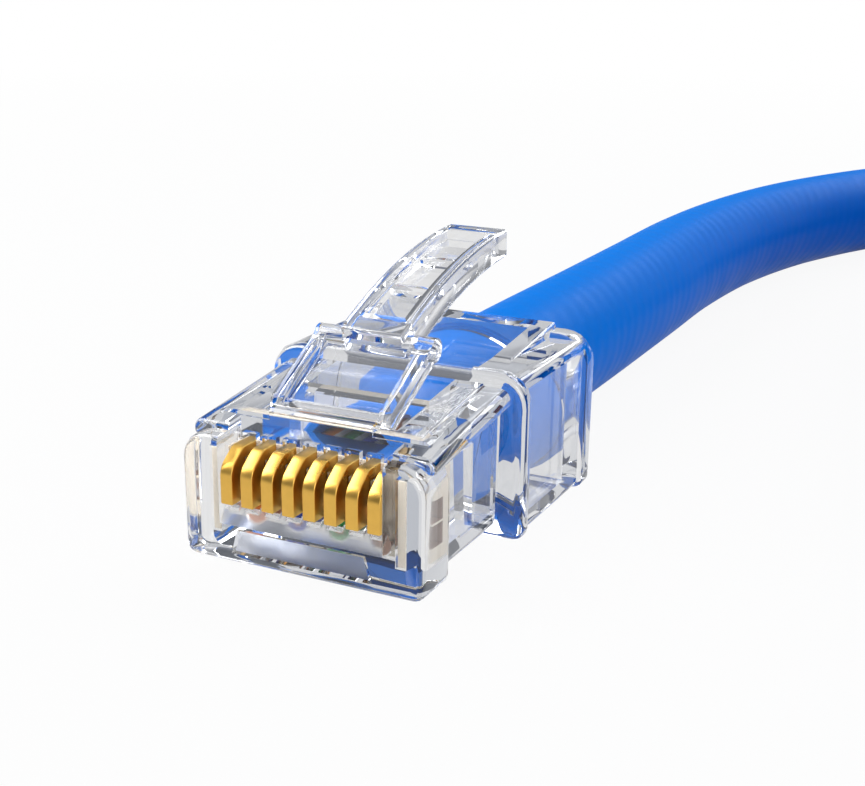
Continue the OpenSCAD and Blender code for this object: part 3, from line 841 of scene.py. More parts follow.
def bar_plastic(colours):
    mat, tree, bsdf = plain_material("load_bar_plastic")
    if tree is None:
        return mat
    grain, _ = grained(tree, bsdf, "load_bar_plastic")
    cream = colours.load_bar
    plain = two_tone(tree, bsdf, grain.outputs["Height"], cream, times(cream, 0.93))
    # Painted reflection: the sights' walls are painted the brown of the last wire behind them
    mark = new_node(tree, "ShaderNodeAttribute", attribute_name="sight")
    shown = two_tone(tree, bsdf, mark.outputs["Fac"], cream, PAINTED_WIRE_REFLECTION_BROWN)
    connect(tree, (plain, "Result", shown, "A"))
    set_inputs(bsdf, Subsurface_Weight=0.1, Subsurface_Radius=(0.0008, 0.0006, 0.0004))
    return mat


def use_material(obj, mat):
    obj.data.materials.clear()
    obj.data.materials.append(mat)
    return obj


# ---- Settings ---------------------------------------------------------------

def edge_setting(name, description, default, low, high):
    """A rounding, given in millimetres."""
    return bpy.props.FloatProperty(
        name=name, description=description, default=default * MM, min=low * MM,
        max=high * MM, unit="LENGTH", precision=5,
    )


def colour_setting(name, description, default):
    return bpy.props.FloatVectorProperty(
        name=name, description=description, subtype="COLOR", size=3, min=0, max=1,
        default=default,
    )


class PatchCableSizes(bpy.types.PropertyGroup):
    edge_radius: edge_setting(
        "Edge radius", "Rounding of the plug's outer edges", 0.28, 0.05, 0.4)
    blade_edge: edge_setting(
        "Blade edge", "Rounding of the gold blades' edges", 0.045, 0.02, 0.12)
    cord_sides: bpy.props.IntProperty(
        name="Cable sides", description="Faces round the cable", default=40, min=12, max=96,
    )


class PatchCableColours(bpy.types.PropertyGroup):
    jacket: colour_setting("Jacket", "Colour of the cable's jacket", (0.0, 0.19, 0.74))
    gold: colour_setting("Contacts", "Colour of the contacts' plating", (0.95, 0.57, 0.12))
    load_bar: colour_setting(
        "Load bar", "Colour of the bar that holds the wires", (0.80, 0.72, 0.60))
    tie: colour_setting("Tie", "Colour of the cable tie", (0.012, 0.012, 0.014))


# ---- Plug housing -----------------------------------------------------------

def wire_x(k):
    return (k - (WIRES - 1) / 2) * PITCH


def upper_row(k):
    return k % 2 == 0


def row_z(k):
    return ROW_LOW + (ROW_STEP if upper_row(k) else 0.0)


def sloped(obj):
    """Tilts a block of the top deck about the front face's top."""
    return moved(obj, Matrix.Translation((0, 0, DECK_Z * MM))
                 @ Matrix.Rotation(TOP_SLOPE, 4, "X"))


def housing_blocks(edge):
    """The solid blocks of the body, front to back, some with rounded edges."""
    blocks = []
    for name, width, low, high, r_top, r_low, y0, y1, rounding in (
        ("tip", NOSE_W, NOSE_LIFT, TIP_TOP, TIP_R, CORNER_R, 0, TIP_L, edge),
        ("neck", NECK_W, NECK_Z, NECK_TOP, CORNER_R, CORNER_R, TIP_L - 0.6,
         SHOULDER_Y + LAP, 0),
        ("deck", NOSE_W - 0.02, -DECK_T, 0, CORNER_R, DECK_R, DECK_Y,
         SHOULDER_Y + RIB_L / 2, DECK_R),
        ("plate", PLATE_W, -PLATE_T, PLATE_RISE, DECK_R, DECK_R, PLATE_Y0, PLATE_Y1, 0),
        ("rib", REAR_W, 0, RIB_TOP, REAR_R, CORNER_R, SHOULDER_Y, RIB_Y, edge * REAR_EDGE),
        ("back", REAR_W - 2 * SIDE_RECESS, 0.003, REAR_H, CORNER_R, CORNER_R, RIB_Y - LAP,
         PLUG_L - RIM_L + LAP, 0),
        ("rim", REAR_W, 0, RIM_TOP, REAR_R, CORNER_R, PLUG_L - RIM_L, PLUG_L,
         edge * REAR_EDGE),
    ):
        block = along_y(name, rounded_view(width, low, high, r_top, r_low), y0, y1)
        if name in ("deck", "plate"):
            sloped(block)
        if rounding:
            round_edges(block, rounding, 3)
        blocks.append(block)
    blocks.append(across_x("root", bar_view(ROOT_FROM, ROOT_TO, ROOT_T), ROOT_W))
    return blocks


def window_cutter():
    """The contact window, less the comb that stands in it."""
    window = slab("window", 0, WINDOW_W, (WIRE_Y0 - SLACK, WINDOW_Z),
                  (WINDOW_BACK, WINDOW_Z + TIP_TOP))
    fuse(window, slab("front", 0, WINDOW_W, (-PAST, BLADE_Z),
                      (WINDOW_STEP, TIP_TOP + 2 * PAST)))
    lip = BLADE_Z + CUT_LAP
    fuse(window, across_x("bevel", [(-PAST, SILL_LOW), (0, SILL_LOW), (SILL_Y, SILL_HIGH),
                                    (WINDOW_STEP, SILL_HIGH), (WINDOW_STEP, lip),
                                    (-PAST, lip)], WINDOW_W))
    for k in range(WIRES):
        w = min(PITCH - DIVIDER_W, WINDOW_W - 2 * abs(wire_x(k)))
        fuse(window, rod_y("foot", wire_x(k), FOOT_Z + w / 2, w, -PAST, FOOT_L))
    comb = [
        slab("divider", wire_x(k) + PITCH / 2, DIVIDER_W, (DIVIDER_Y, WINDOW_Z - PAST),
             (WINDOW_BACK + LAP, DIVIDER_TOP))
        for k in range(WIRES - 1)
    ]
    return cut(window, joined("comb", comb))


def cheeks(name, gap, past):
    """The two cheeks of the load bar, grown by gap."""
    return joined(name, [
        slab(name, side * CHEEK_MID, CHEEK_W + 2 * gap, (CHEEK_Y - gap, BAR_Z0 - gap),
             (BAR_Y0 + past, BAR_Z1 + gap))
        for side in (-1, 1)
    ])


def ceiling(y):
    """Height of the bore's ceiling, which runs along under the sloping top."""
    return DECK_Z + y * math.tan(TOP_SLOPE) - CEILING_T


def housing_cutters():
    """What is cut out of the body: its inner spaces, front panel and hinge trough."""
    slots = [
        slab("slot", wire_x(k), BLADE_T + 2 * SLACK, (-PAST / 2, ROW_LOW + CORE_D / 2),
             (BLADE_Y + SLACK, BLADE_TOP + SLACK + CORE_D / 2))
        for k in range(WIRES)
    ]
    bores = [
        rod_y("bore", wire_x(k), row_z(k), WIRE_D + 2 * SLACK, WIRE_Y0 - SLACK,
              BAR_Y0 + SMALL_LAP, WIRE_SIDES)
        for k in range(WIRES)
    ]
    cavity = slab("cavity", 0, BAR_W + 2 * SLACK, (BAR_Y0 - SLACK, BAR_Z0 - SLACK),
                  (JACKET_Y - SLACK, BAR_Z1 + SLACK))
    pockets = cheeks("pocket", SLACK, CUT_LAP)
    throat = rod_y("throat", 0, CABLE_Z, GRIP_D + 2 * SLACK, BORE_END - CUT_LAP,
                   PLUG_L + PAST, 64)
    for name, d, y0, y1 in (
        ("rear", GRIP_D, RIB_Y, BORE_END),
        ("neck", FRONT_D, JACKET_Y - SLACK - SMALL_LAP, RIB_Y + SMALL_LAP),
    ):
        low = CABLE_Z - d / 2 - SLACK
        fuse(throat, across_x(name, [(y0, low), (y1, low), (y1, ceiling(y1)),
                                     (y0, ceiling(y0))], d + BORE_PLAY))
    relief = slab("relief", 0, RELIEF_W + 2 * SLACK, (RELIEF_Y - SLACK, -PAST),
                  (RELIEF_Y + RELIEF_L + SLACK, CABLE_Z - PAST))
    half, top_half = PANEL_W / 2, PANEL_TOP_W / 2
    panel = drawn_out("panel", [
        (-half, PANEL_DEPTH, PANEL_Z0), (half, PANEL_DEPTH, PANEL_Z0),
        (top_half, PANEL_DEPTH, PANEL_Z1), (-top_half, PANEL_DEPTH, PANEL_Z1),
    ], (0, -PAST, 0))
    trough = across_x("trough", bar_view((HINGE_Y, HINGE_Z), (HINGE_Y + DOT, HINGE_Z),
                                         2 * (HINGE_R + HINGE_GAP), 14), TROUGH_W)
    floor = HINGE_Z - HINGE_R - HINGE_GAP
    channel = slab("channel", 0, TROUGH_W, (HINGE_Y, floor),
                   (HINGE_Y + CHANNEL_L, floor + 3 * PAST))
    return (window_cutter(), joined("slots", slots), joined("bores", bores), cavity, pockets,
            throat, relief, panel, trough, channel)


def frost_level(face):
    """How rough a face of the body is."""
    x, y, z = face.center / MM
    if abs(x) < PANEL_W / 2 and abs(y - PANEL_DEPTH) < NEAR and z < PANEL_Z1:
        return FROST_FULL
    if abs(x) > CHEEK_X - SMALL_LAP:
        return 0.0
    if abs(y - (WIRE_Y0 - SLACK)) < NEAR and z < BLADE_Z and face.normal.y > 0.9:
        return FROST_FULL
    if -NEAR < y < SILL_Y + NEAR and SILL_LOW < z < SILL_HIGH and face.normal.z > 0.3:
        return FROST_SILL
    if abs(y - WINDOW_BACK) < NEAR and z > BLADE_TOP - 0.5:
        return FROST_BACK
    return 0.0


def mark_frost(body):
    """Marks the panel's floor, the wire bores' ends, the sill and the window's back."""
    mark = body.data.attributes.new("frost", "FLOAT", "FACE")
    for face in body.data.polygons:
        mark.data[face.index].value = frost_level(face)


def make_housing(sizes):
    body = fuse(*housing_blocks(sizes.edge_radius / MM))
    cut(body, *housing_cutters())
    clean(body)
    mark_frost(body)
    return smooth(body, SMOOTH)


# ---- Latch ------------------------------------------------------------------

def lever_point(d, up):
    """A point d along the arched lever from its ears, up from its middle line."""
    a = LEVER_SLOPE - (LEVER_SLOPE - LEVER_END_SLOPE) * d / LEVER_L
    return (EAR_Y + LEVER_R * (math.sin(LEVER_SLOPE) - math.sin(a)) - up * math.sin(a),
            EAR_Z + LEVER_R * (math.cos(a) - math.cos(LEVER_SLOPE)) + up * math.cos(a))


def lever_view(start, end, low, high, shift=0.0, steps=16):
    """Side view of a stretch of the lever, low and high in half thicknesses."""
    at = [start + (end - start) * i / steps for i in range(steps + 1)]
    half = [(LEVER_T + (LEVER_END_T - LEVER_T) * d / LEVER_L) / 2 for d in at]
    return ([lever_point(d, low * h + shift) for d, h in zip(at, half)]
            + [lever_point(d, high * h) for d, h in reversed(list(zip(at, half)))])


def round_upright(obj, radius, low_y, segments=5):
    """Rounds the upright edges of a block that lie behind low_y."""
    pick(obj)
    bpy.ops.object.mode_set(mode="EDIT")
    bm = bmesh.from_edit_mesh(obj.data)
    for e in bm.edges:
        a, b = (v.co / MM for v in e.verts)
        e.select_set(a.y > low_y and b.y > low_y and abs(a.x - b.x) < 0.01
                     and abs(a.z - b.z) > 0.3)
    bmesh.update_edit_mesh(obj.data)
    bpy.ops.mesh.bevel(offset=radius * MM, segments=segments, affect="EDGES")
    bpy.ops.object.mode_set(mode="OBJECT")
    return obj


def make_lever():
    """Arched lever with a raised rim and three sunk bays."""
    lever = across_x("lever", lever_view(-LEVER_ROOT, LEVER_L, -1, 1), LEVER_W)
    round_upright(lever, END_R, lever_point(LEVER_L, 0)[0] - END_ZONE)
    round_edges(lever, LEVER_EDGE, 3, SHARP)
    floor_w, floor_end = LEVER_W - 2 * RIM_W, LEVER_L - RIM_END
    sunk = across_x("sunk", lever_view(RIM_START, floor_end, 1, BAY_TOP, -RIM_RISE), floor_w)
    round_upright(sunk, BAY_R, lever_point(floor_end, 0)[0] - END_ZONE, 4)
    first = RIM_START + BAY_INSET
    step = (LEVER_L - RIM_END - RIM_START - 2 * BAY_INSET + RIB_GAP) / BAYS
    bays = [
        across_x("bay", lever_view(first + k * step, first + (k + 1) * step - RIB_GAP, 1,
                                   BAY_TOP, -RIM_RISE - BAY_SINK, 8),
                 floor_w - 2 * BAY_INSET)
        for k in range(BAYS)
    ]
    return cut(lever, sunk, *bays)


def make_latch():
    """Flap between two rails, with an ear at the end of each, and the lever behind."""
    hinge, ear = (HINGE_Y, HINGE_Z), (EAR_Y, EAR_Z)
    web = across_x("web", bar_view(hinge, ear, FLAP_T), FLAP_W - 2 * RAIL_W + SMALL_LAP)
    parts = [web, make_lever()]
    for side in (-1, 1):
        rail = across_x("rail", bar_view(hinge, ear, RAIL_T, 12), RAIL_W,
                        side * (FLAP_W - RAIL_W) / 2)
        boss = across_x("boss", bar_view(ear, (EAR_Y + DOT, EAR_Z), 2 * EAR_R, 12),
                        (FLAP_W - LEVER_W) / 2 + SMALL_LAP,
                        side * (FLAP_W + LEVER_W - 2 * SMALL_LAP) / 4)
        for piece in (rail, boss):
            round_edges(piece, LATCH_EDGE, 2, SHARP)
        gusset = across_x("gusset", [ear, (EAR_Y - 1.9, EAR_Z - 0.9),
                                     (EAR_Y - 0.3, EAR_Z - 0.4)],
                          GUSSET_W, side * (LEVER_W - GUSSET_W) / 2)
        parts += [rail, boss, gusset]
    latch = fuse(*parts)
    clean(latch)
    return smooth(latch, SMOOTH)


# ---- Contacts, load bar, wires, jacket --------------------------------------

def blade_view(pierce_z):
    """Side view of one blade, with two teeth that reach down to pierce_z."""
    front = FRONT_Z - FRONT_R * math.tan((math.pi / 2 - BLADE_SLOPE) / 2)
    body_z = pierce_z + WIRE_D / 2 - CORE_D / 2 + SLACK
    view = [(0, BLADE_Z)]
    for k in range(11):
        a = math.pi - (math.pi / 2 - BLADE_SLOPE) * k / 10
        view.append((FRONT_R + FRONT_R * math.cos(a), front + FRONT_R * math.sin(a)))
    crest_y = (BLADE_TOP - FRONT_Z) / math.tan(BLADE_SLOPE) + CREST_SHIFT
    for k in range(4):
        a = BLADE_SLOPE * (1 - k / 3)
        view.append((crest_y - CREST_R * math.sin(a),
                     BLADE_TOP - CREST_R * (1 - math.cos(a))))
    view += [(BLADE_Y, BLADE_TOP), (BLADE_Y, body_z)]
    for tooth in TEETH:
        view += [(BLADE_Y - tooth + TOOTH_W / 2, body_z), (BLADE_Y - tooth, pierce_z),
                 (BLADE_Y - tooth - TOOTH_W / 2, body_z)]
    return view + [(WIRE_Y0 - SMALL_LAP, body_z), (WIRE_Y0 - SMALL_LAP, BLADE_Z)]


def make_blade(k, sizes):
    blade = across_x("blade", blade_view(row_z(k) + CORE_D / 2), BLADE_T, wire_x(k))
    round_edges(blade, sizes.blade_edge / MM, 3, SHARP, clamp=False)
    return smooth(blade, SHARP)


def make_load_bar():
    """Bar with cheeks, holes for the wires, and sights whose walls are marked for a painted
    reflection of the brown wire behind.
    """
    bar = slab("bar", 0, BAR_W, (BAR_Y0, BAR_Z0), (BAR_Y1, BAR_Z1))
    fuse(bar, cheeks("cheek", 0, CHEEK_LAP))
    clean(bar)
    round_edges(bar, SOFT_EDGE)
    bores = [rod_y("bore", wire_x(k), row_z(k), WIRE_D + SLACK, BAR_Y0 - PAST,
                   BAR_Y1 + PAST, WIRE_SIDES)
             for k in range(WIRES)]
    windows = [
        slab("window", side * CHEEK_MID, 2 * CHEEK_W, (SIGHT_Y, SIGHT_Z + tier * SIGHT_STEP),
             (BAR_Y0 - SMALL_LAP, SIGHT_Z + tier * SIGHT_STEP + SIGHT_H))
        for side in (-1, 1) for tier in (0, 1)
    ]
    cut(bar, joined("bores", bores), joined("windows", windows))
    clean(bar)
    mark = bar.data.attributes.new("sight", "FLOAT", "FACE")
    for face in bar.data.polygons:
        x, y, z = face.center / MM
        mark.data[face.index].value = float(
            CHEEK_X + NEAR < abs(x) < CHEEK_X + CHEEK_W - NEAR
            and SIGHT_Y - SLACK < y < BAR_Y0 - SLACK
            and SIGHT_Z - SLACK < z < SIGHT_Z + SIGHT_STEP + SIGHT_H + SLACK)
    return smooth(bar, SMOOTH)


def wire_points(k):
    """Centre of one wire, from its cut end to the plug's rear."""
    x0, z0 = wire_x(k), row_z(k)
    x1 = (k - (WIRES - 1) / 2) * INNER_PITCH
    z1 = CABLE_Z + (INNER_Z if upper_row(k) else -INNER_Z)
    points = [(x0, WIRE_Y0, z0)]
    for i in range(WIRE_STEPS + 1):
        s = i / WIRE_STEPS
        points.append((x0 + (x1 - x0) * eased(s), BAR_Y1 + (JACKET_Y - BAR_Y1) * s,
                       z0 + (z1 - z0) * eased(s)))
    return points + [(x1, PLUG_L, z1)]


def make_jacket_end():
    """The jacket's end in the plug, squeezed in the neck."""
    front, rear = FRONT_D / 2, GRIP_D / 2
    profile = [(JACKET_Y, front - JACKET_EDGE), (JACKET_Y + JACKET_EDGE, front),
               (SQUEEZE_Y, front)]
    for i in range(1, SQUEEZE_STEPS + 1):
        s = i / SQUEEZE_STEPS
        profile.append((SQUEEZE_Y + SQUEEZE_L * s, front + (rear - front) * eased(s)))
    profile += [
        (PLUG_L, rear), (PLUG_L, rear - JACKET_T), (SQUEEZE_Y + SQUEEZE_L, rear - JACKET_T),
        (SQUEEZE_Y, front - JACKET_FRONT_T), (JACKET_Y, front - JACKET_FRONT_T),
    ]
    jacket = spun("jacket", profile, 0, CABLE_Z)
    cut(jacket, slab("dent", 0, RELIEF_W, (RELIEF_Y, -PAST),
                     (RELIEF_Y + RELIEF_L, RELIEF_TOP)))
    lay_uv(jacket)
    return smooth(jacket, SMOOTH)


def lay_uv(obj):
    """UVs along Y in millimetres and round the cable's axis."""
    mesh = obj.data
    layer = mesh.uv_layers.get("along") or mesh.uv_layers.new(name="along")
    for face in mesh.polygons:
        for i in face.loop_indices:
            co = mesh.vertices[mesh.loops[i].vertex_index].co / MM
            layer.data[i].uv = (co.y, math.atan2(co.x, co.z - CABLE_Z) / (2 * math.pi))


def make_tongue():
    tongue = slab("tongue", 0, RELIEF_W, (RELIEF_Y, RELIEF_LOW),
                  (RELIEF_Y + RELIEF_L, RELIEF_TOP))
    round_edges(tongue, SOFT_EDGE)
    return smooth(tongue, SMOOTH)


# ---- Cord -------------------------------------------------------------------

def coil_radius(t):
    """The coil after t turns: it winds inwards below, and out again on top."""
    return COIL_R - LAYER * (COIL_BACK - abs(t - COIL_BACK))


def coil_point(t):
    """A point of the coil after t turns, lifted where it lies on the tie."""
    angle = 90 - 360 * t
    off_tie = abs(((angle - TIE_ANGLE) % 360 + 540) % 360 - 180)
    z = (CABLE_R + LAYER * eased((t - COIL_BACK + COIL_RISE / 2) / COIL_RISE)
         + TIE_LIFT * eased(1 + TIE_FLAT / TIE_RAMP - off_tie / TIE_RAMP))
    a, r = math.radians(angle), coil_radius(t)
    return (COIL_AT[0] + r * math.cos(a), COIL_AT[1] + r * math.sin(a), z)


def cord_points():
    """Centre of the whole cable, from plug to plug."""
    lead = curve_through(LEAD_ROUTE, (0, 1, 0), (1, 0, 0), CORD_STEP)
    x, y = COIL_AT
    coil = [(x, y + COIL_R, CABLE_R), (x + CABLE_D, y + COIL_R, CABLE_R)]
    coil += [coil_point(i / COIL_STEPS) for i in range(2, int(COIL_TURNS * COIL_STEPS) - 1)]
    coil += [(x + CABLE_D, y - COIL_R, CABLE_R + LAYER), (x, y - COIL_R, CABLE_R + LAYER)]
    coil = curve_through(coil, (1, 0, 0), (-1, 0, 0), COIL_STEP)
    tail = curve_through(TAIL_ROUTE, (-1, 0, 0), FAR_WAY, CORD_STEP)
    return [(p[0], p[1], max(p[2], CABLE_R)) for p in lead + coil[1:] + tail[1:]]


def make_tie():
    """Strap round all the turns, with rounded corners and edges."""
    first = (90 - TIE_ANGLE) / 360
    radii = [coil_radius(first + k) for k in range(4) if first + k <= COIL_TURNS]
    inner, outer = min(radii) - CABLE_R - TIE_GAP, max(radii) + CABLE_R + TIE_GAP
    top = CABLE_D + LAYER + TIE_LIFT + TIE_GAP
    strap = along_y("strap", rounded_view(outer - inner + 2 * TIE_T, 0, top + TIE_T, TIE_R,
                                          TIE_R), -TIE_W / 2, TIE_W / 2)
    hole = along_y("hole", rounded_view(outer - inner, TIE_T, top, TIE_BORE_R, TIE_BORE_R),
                   -TIE_W, TIE_W)
    cut(strap, hole)
    round_edges(strap, TIE_EDGE, 3, 50)
    turn = (Matrix.Translation((COIL_AT[0] * MM, COIL_AT[1] * MM, 0))
            @ Matrix.Rotation(math.radians(TIE_ANGLE), 4, "Z")
            @ Matrix.Translation(((inner + outer) / 2 * MM, 0, 0)))
    return smooth(moved(strap, turn), SHARP)


# ---- Stage ------------------------------------------------------------------

def camera_object():
    c = CAMERA
    a, e = math.radians(c["azimuth"]), math.radians(c["elevation"])
    r = math.radians(c["roll"])
    back = Vector((math.sin(a) * math.cos(e), -math.cos(a) * math.cos(e), math.sin(e)))
    right = Vector((math.cos(a), math.sin(a), 0))
    up = back.cross(right)
    right, up = (right * math.cos(r) + up * math.sin(r),
                 up * math.cos(r) - right * math.sin(r))
    target = (Vector(c["target"]) + Vector((0, NEAR_Y, 0))) * MM
    data = bpy.data.cameras.new("camera")
    data.sensor_width = SENSOR_W
    data.lens = c["focal_px"] / PICTURE_W * SENSOR_W
    data.shift_x = -c["offset_px"][0] / PICTURE_W
    data.shift_y = c["offset_px"][1] / PICTURE_W
    data.clip_start, data.clip_end = 0.005, 10.0
    cam = bpy.data.objects.new("camera", data)
    cam.matrix_world = Matrix.Translation(target + back * c["distance"] * MM) @ Matrix(
        (right, up, back)).transposed().to_4x4()
    bpy.context.scene.collection.objects.link(cam)
    bpy.context.scene.camera = cam
    return cam


def seen_directly(tree):
    """Light Path, and a node that is one for rays from the camera, a mirror or plastic."""
    path = tree.nodes.new("ShaderNodeLightPath")
    first, both = math_node(tree, "MAXIMUM"), math_node(tree, "MAXIMUM")
    connect(tree, (path, "Is Camera Ray", first, 0), (path, "Is Glossy Ray", first, 1),
            (first, 0, both, 0), (path, "Is Transmission Ray", both, 1))
    return path, both


def ramp_node(tree, stops):
    """Grey levels at heights between -1 and 1."""
    height = new_node(tree, "ShaderNodeMapRange", From_Min=-1.0)
    ramp = tree.nodes.new("ShaderNodeValToRGB")
    points = ramp.color_ramp.elements
    points[0].color, points[1].color = (*stops[0][1], 1), (*stops[-1][1], 1)
    for at, c in stops[1:-1]:
        points.new((at + 1) / 2).color = (*c, 1)
    connect(tree, (height, "Result", ramp, "Fac"))
    return height, ramp


def studio_world():
    """White to the camera; plastic and metal see a grey room with a bright ceiling."""
    world = bpy.data.worlds.new("studio")
    bpy.context.scene.world = world
    world.use_nodes = True
    tree = world.node_tree
    shade = set_inputs(tree.nodes["Background"], Color=SHADE, Strength=SHADE_STRENGTH)
    where = tree.nodes.new("ShaderNodeTexCoord")
    split = tree.nodes.new("ShaderNodeSeparateXYZ")
    height, ramp = ramp_node(tree, ROOM_GREYS)
    # Tall bright panels all round, one of them behind the camera
    turn = math_node(tree, "ARCTAN2")
    wave = math_node(tree, "MULTIPLY_ADD", PANELS, math.pi)
    peak = math_node(tree, "COSINE")
    panel = new_node(tree, "ShaderNodeMapRange", From_Min=0.45, From_Max=0.75)
    low = new_node(tree, "ShaderNodeMapRange", From_Min=0.68, From_Max=0.82, To_Min=1.0,
                   To_Max=0.0)
    share = math_node(tree, "MULTIPLY")
    lit = new_node(tree, "ShaderNodeMix", data_type="RGBA", B=PANEL_GREY)
    room = tree.nodes.new("ShaderNodeBackground")
    white = new_node(tree, "ShaderNodeBackground", Color=(1, 1, 1, 1))
    seen = tree.nodes.new("ShaderNodeMixShader")
    mix = tree.nodes.new("ShaderNodeMixShader")
    path, direct = seen_directly(tree)
    connect(
        tree, (where, "Generated", split, "Vector"), (split, "Z", height, "Value"),
        (split, "Y", turn, 0), (split, "X", turn, 1), (turn, 0, wave, 0),
        (wave, 0, peak, 0), (peak, 0, panel, "Value"), (split, "Z", low, "Value"),
        (panel, "Result", share, 0), (low, "Result", share, 1), (share, 0, lit, "Factor"),
        (ramp, "Color", lit, "A"), (lit, "Result", room, "Color"),
        (path, "Is Camera Ray", seen, "Fac"), (room, "Background", seen, 1),
        (white, "Background", seen, 2), (direct, 0, mix, "Fac"),
        (shade, "Background", mix, 1), (seen, "Shader", mix, 2),
        (mix, "Shader", tree.nodes["World Output"], "Surface"),
    )


def floor_object():
    """White paper that glows to the camera, a little less near the cable."""
    deselect()
    bpy.ops.mesh.primitive_plane_add(size=6, location=(0, 0, -0.00002))
    floor = settle(bpy.context.object)
    floor.name = "floor"
    mat, tree, bsdf = plain_material("floor_paper")
    set_inputs(bsdf, Base_Color=FLOOR_GREY, Roughness=0.9)
    glow = new_node(tree, "ShaderNodeEmission", Color=(1, 1, 1, 1))
    # White to the camera and through clear plastic, grey as a mirror image
    dim = math_node(tree, "MULTIPLY_ADD", -MIRROR_DIM, 1.0)
    where = tree.nodes.new("ShaderNodeTexCoord")
    away = new_node(tree, "ShaderNodeVectorMath", operation="LENGTH")
    fade = new_node(tree, "ShaderNodeMapRange", From_Min=0.1, From_Max=0.3,
                    To_Min=FLOOR_GLOW)
    part = math_node(tree, "MULTIPLY")
    mix = tree.nodes.new("ShaderNodeMixShader")
    path, direct = seen_directly(tree)
    connect(
        tree, (where, "Object", away, 0), (away, "Value", fade, "Value"),
        (fade, "Result", part, 1), (direct, 0, part, 0), (path, "Is Glossy Ray", dim, 0),
        (dim, 0, glow, "Strength"), (part, 0, mix, "Fac"), (bsdf, "BSDF", mix, 1),
        (glow, "Emission", mix, 2), (mix, "Shader", tree.nodes["Material Output"], "Surface"),
    )
    use_material(floor, mat)
    return floor


def area_light(name, place, aim, size, power, colour):
    data = bpy.data.lights.new(name, "AREA")
    data.shape = "RECTANGLE"
    data.size, data.size_y = size
    data.energy = power
    data.color = colour
    lamp = bpy.data.objects.new(name, data)
    lamp.location = place
    lamp.rotation_mode = "QUATERNION"
    lamp.rotation_quaternion = (Vector(aim) - Vector(place)).to_track_quat("-Z", "Y")
    bpy.context.scene.collection.objects.link(lamp)
    return lamp


# ---- Operators --------------------------------------------------------------

class PATCHCABLE_OT_stage(bpy.types.Operator):
    """Camera, floor, world and lamps"""
    bl_idname = "patch_cable.stage"
    bl_label = "Stage"

    def execute(self, context):
        camera_object()
        studio_world()
        floor_object()
        for lamp in LAMPS:
            area_light(*lamp)
        context.scene.view_settings.view_transform = "Standard"
        return {"FINISHED"}


class PATCHCABLE_OT_cord(bpy.types.Operator):
    """The whole cable: lead, coil and tail in one tube"""
    bl_idname = "patch_cable.cord"
    bl_label = "Cable"

    def execute(self, context):
        sizes, colours = context.scene.patch_cable_sizes, context.scene.patch_cable_colours
        cord = swept("cable_jacket", cord_points(), CABLE_R, sizes.cord_sides, 0, (0, 1, 0),
                     FAR_WAY)
        use_material(cord, jacket_vinyl(colours))
        dress(cord, "cable", "blue_jacket", "cord_lead", "cord_coil", "cord_tail")
        smooth(cord, SHARP)
        return {"FINISHED"}


class PATCHCABLE_OT_tie(bpy.types.Operator):
    """Hook-and-loop strap that holds the coil"""
    bl_idname = "patch_cable.tie"
    bl_label = "Cable tie"

    def execute(self, context):
        strap = use_material(make_tie(), tie_cloth(context.scene.patch_cable_colours))
        strap.name = strap.data.name = "coil_strap"
        dress(strap, "cable", "tie_fabric", "cable_tie")
        return {"FINISHED"}


class PATCHCABLE_OT_housings(bpy.types.Operator):
    """Clear bodies of both plugs"""
    bl_idname = "patch_cable.housings"
    bl_label = "Plug bodies"

    def execute(self, context):
        body = make_housing(context.scene.patch_cable_sizes)
        use_material(body, clear_plastic("polycarbonate"))
        dress_pair(body, "plug_body", "housing", "clear_plastic")
        return {"FINISHED"}


class PATCHCABLE_OT_latches(bpy.types.Operator):
    """Latch levers of both plugs"""
    bl_idname = "patch_cable.latches"
    bl_label = "Latches"

    def execute(self, context):
        latch = use_material(make_latch(), clear_plastic("latch_polycarbonate"))
        dress_pair(latch, "latch_lever", "latch", "clear_latch", ("near_latch", "far_latch"))
        return {"FINISHED"}


class PATCHCABLE_OT_contacts(bpy.types.Operator):
    """Gold blades of both plugs"""
    bl_idname = "patch_cable.contacts"
    bl_label = "Contacts"

    def execute(self, context):
        sizes, colours = context.scene.patch_cable_sizes, context.scene.patch_cable_colours
        gold = gold_plate(colours)
        twins = []
        for k in range(WIRES):
            blade = use_material(make_blade(k, sizes), gold)
            near, far = placed_pair(blade, "near_blade_%d" % (k + 1), "far_blade")
            dress(near, "cable", "gold", "near_contact_%d" % (k + 1))
            twins.append(far)
        far = joined("far_blades", twins)
        dress(far, "cable", "gold", "far_contacts")
        return {"FINISHED"}


class PATCHCABLE_OT_wires(bpy.types.Operator):
    """Insulated wires of both plugs, and the finish of their copper"""
    bl_idname = "patch_cable.wires"
    bl_label = "Wires"

    def execute(self, context):
        twins = []
        for k in range(WIRES):
            tube = swept("wire", wire_points(k), WIRE_D / 2, WIRE_SIDES, CORE_D / 2,
                         (0, 1, 0), (0, 1, 0))
            use_material(tube, wire_insulation(k))
            near, far = placed_pair(tube, "near_insulation_%d" % (k + 1), "far_wire")
            slot = WIRE_NODES[k][len("near_wire_1_"):] + "_wire"
            dress(near, "cable", slot, WIRE_NODES[k])
            twins.append(far)
        far = joined("far_insulation", twins)
        dress(far, "cable", "wire_colours", "far_wires")
        copper = copper_wire()
        for name in ["near_core_%d" % (k + 1) for k in range(WIRES)] + ["far_cores"]:
            use_material(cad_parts[name], copper)
        return {"FINISHED"}


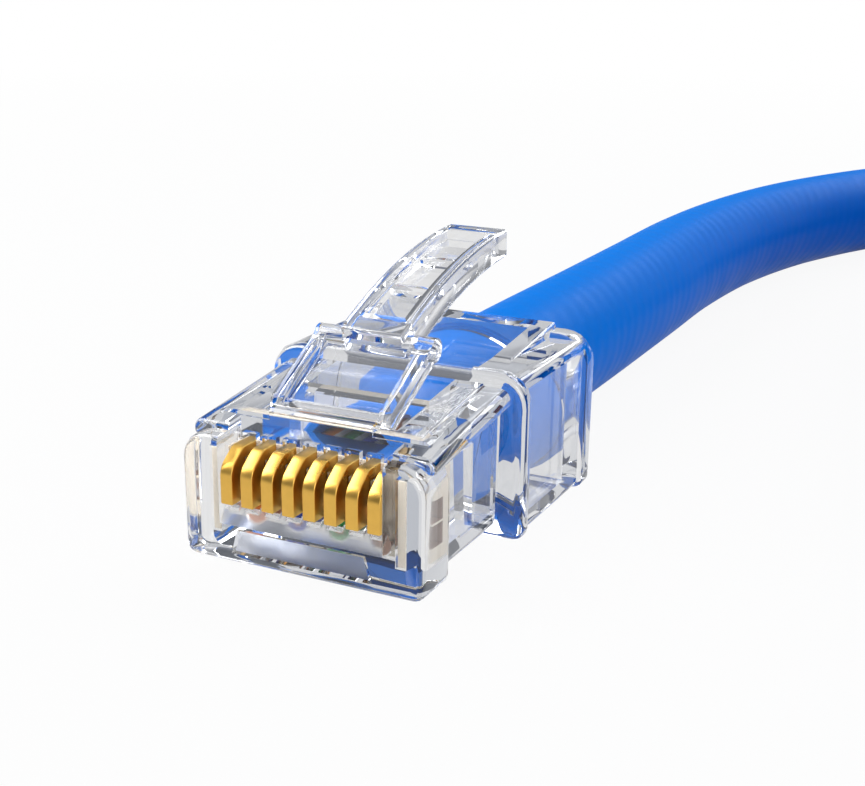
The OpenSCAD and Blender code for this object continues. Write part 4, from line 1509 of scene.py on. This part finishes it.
class PATCHCABLE_OT_inner_parts(bpy.types.Operator):
    """Load bars, jacket ends and strain relief tongues"""
    bl_idname = "patch_cable.inner_parts"
    bl_label = "Inner parts"

    def execute(self, context):
        colours = context.scene.patch_cable_colours
        for make, mat, piece, node, slot in (
            (make_load_bar, bar_plastic(colours), "bar", "load_bar", "load_bar"),
            (make_jacket_end, jacket_vinyl(colours), "jacket_end", "jacket", "blue_jacket"),
            (make_tongue, clear_plastic("polycarbonate"), "tongue", "strain_relief",
             "clear_tongue"),
        ):
            dress_pair(use_material(make(), mat), piece, node, slot)
        return {"FINISHED"}


class PATCHCABLE_OT_declare(bpy.types.Operator):
    """Works out the cable's centre points in metres, and does nothing more with them"""
    bl_idname = "patch_cable.declare"
    bl_label = "Declare cable"

    def execute(self, context):
        points = [[c * MM for c in p] for p in cord_points()]
        return {"FINISHED"}


class PATCHCABLE_PT_panel(bpy.types.Panel):
    """Lists the pieces of the patch cable"""
    bl_idname = "PATCHCABLE_PT_panel"
    bl_label = "Patch cable"
    bl_space_type = "VIEW_3D"
    bl_region_type = "UI"
    bl_category = "Cable"

    def draw(self, context):
        scene = context.scene
        for group in (scene.patch_cable_sizes, scene.patch_cable_colours):
            for key in group.__annotations__:
                self.layout.prop(group, key)
        for operator in OPERATORS:
            self.layout.operator(operator.bl_idname)


OPERATORS = (
    PATCHCABLE_OT_stage, PATCHCABLE_OT_cord, PATCHCABLE_OT_tie, PATCHCABLE_OT_housings,
    PATCHCABLE_OT_latches, PATCHCABLE_OT_contacts, PATCHCABLE_OT_wires,
    PATCHCABLE_OT_inner_parts, PATCHCABLE_OT_declare,
)
GROUPS = (PatchCableSizes, PatchCableColours)


def register():
    for cls in (*GROUPS, *OPERATORS, PATCHCABLE_PT_panel):
        bpy.utils.register_class(cls)
    bpy.types.Scene.patch_cable_sizes = bpy.props.PointerProperty(type=PatchCableSizes)
    bpy.types.Scene.patch_cable_colours = bpy.props.PointerProperty(type=PatchCableColours)


def unregister():
    del bpy.types.Scene.patch_cable_sizes
    del bpy.types.Scene.patch_cable_colours
    for cls in reversed((*GROUPS, *OPERATORS, PATCHCABLE_PT_panel)):
        bpy.utils.unregister_class(cls)


def main():
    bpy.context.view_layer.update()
    register()
    bpy.ops.patch_cable.stage()
    bpy.ops.patch_cable.cord()
    bpy.ops.patch_cable.tie()
    bpy.ops.patch_cable.housings()
    bpy.ops.patch_cable.latches()
    bpy.ops.patch_cable.contacts()
    bpy.ops.patch_cable.wires()
    bpy.ops.patch_cable.inner_parts()
    bpy.ops.patch_cable.declare()


if __name__ == "__main__":
    main()
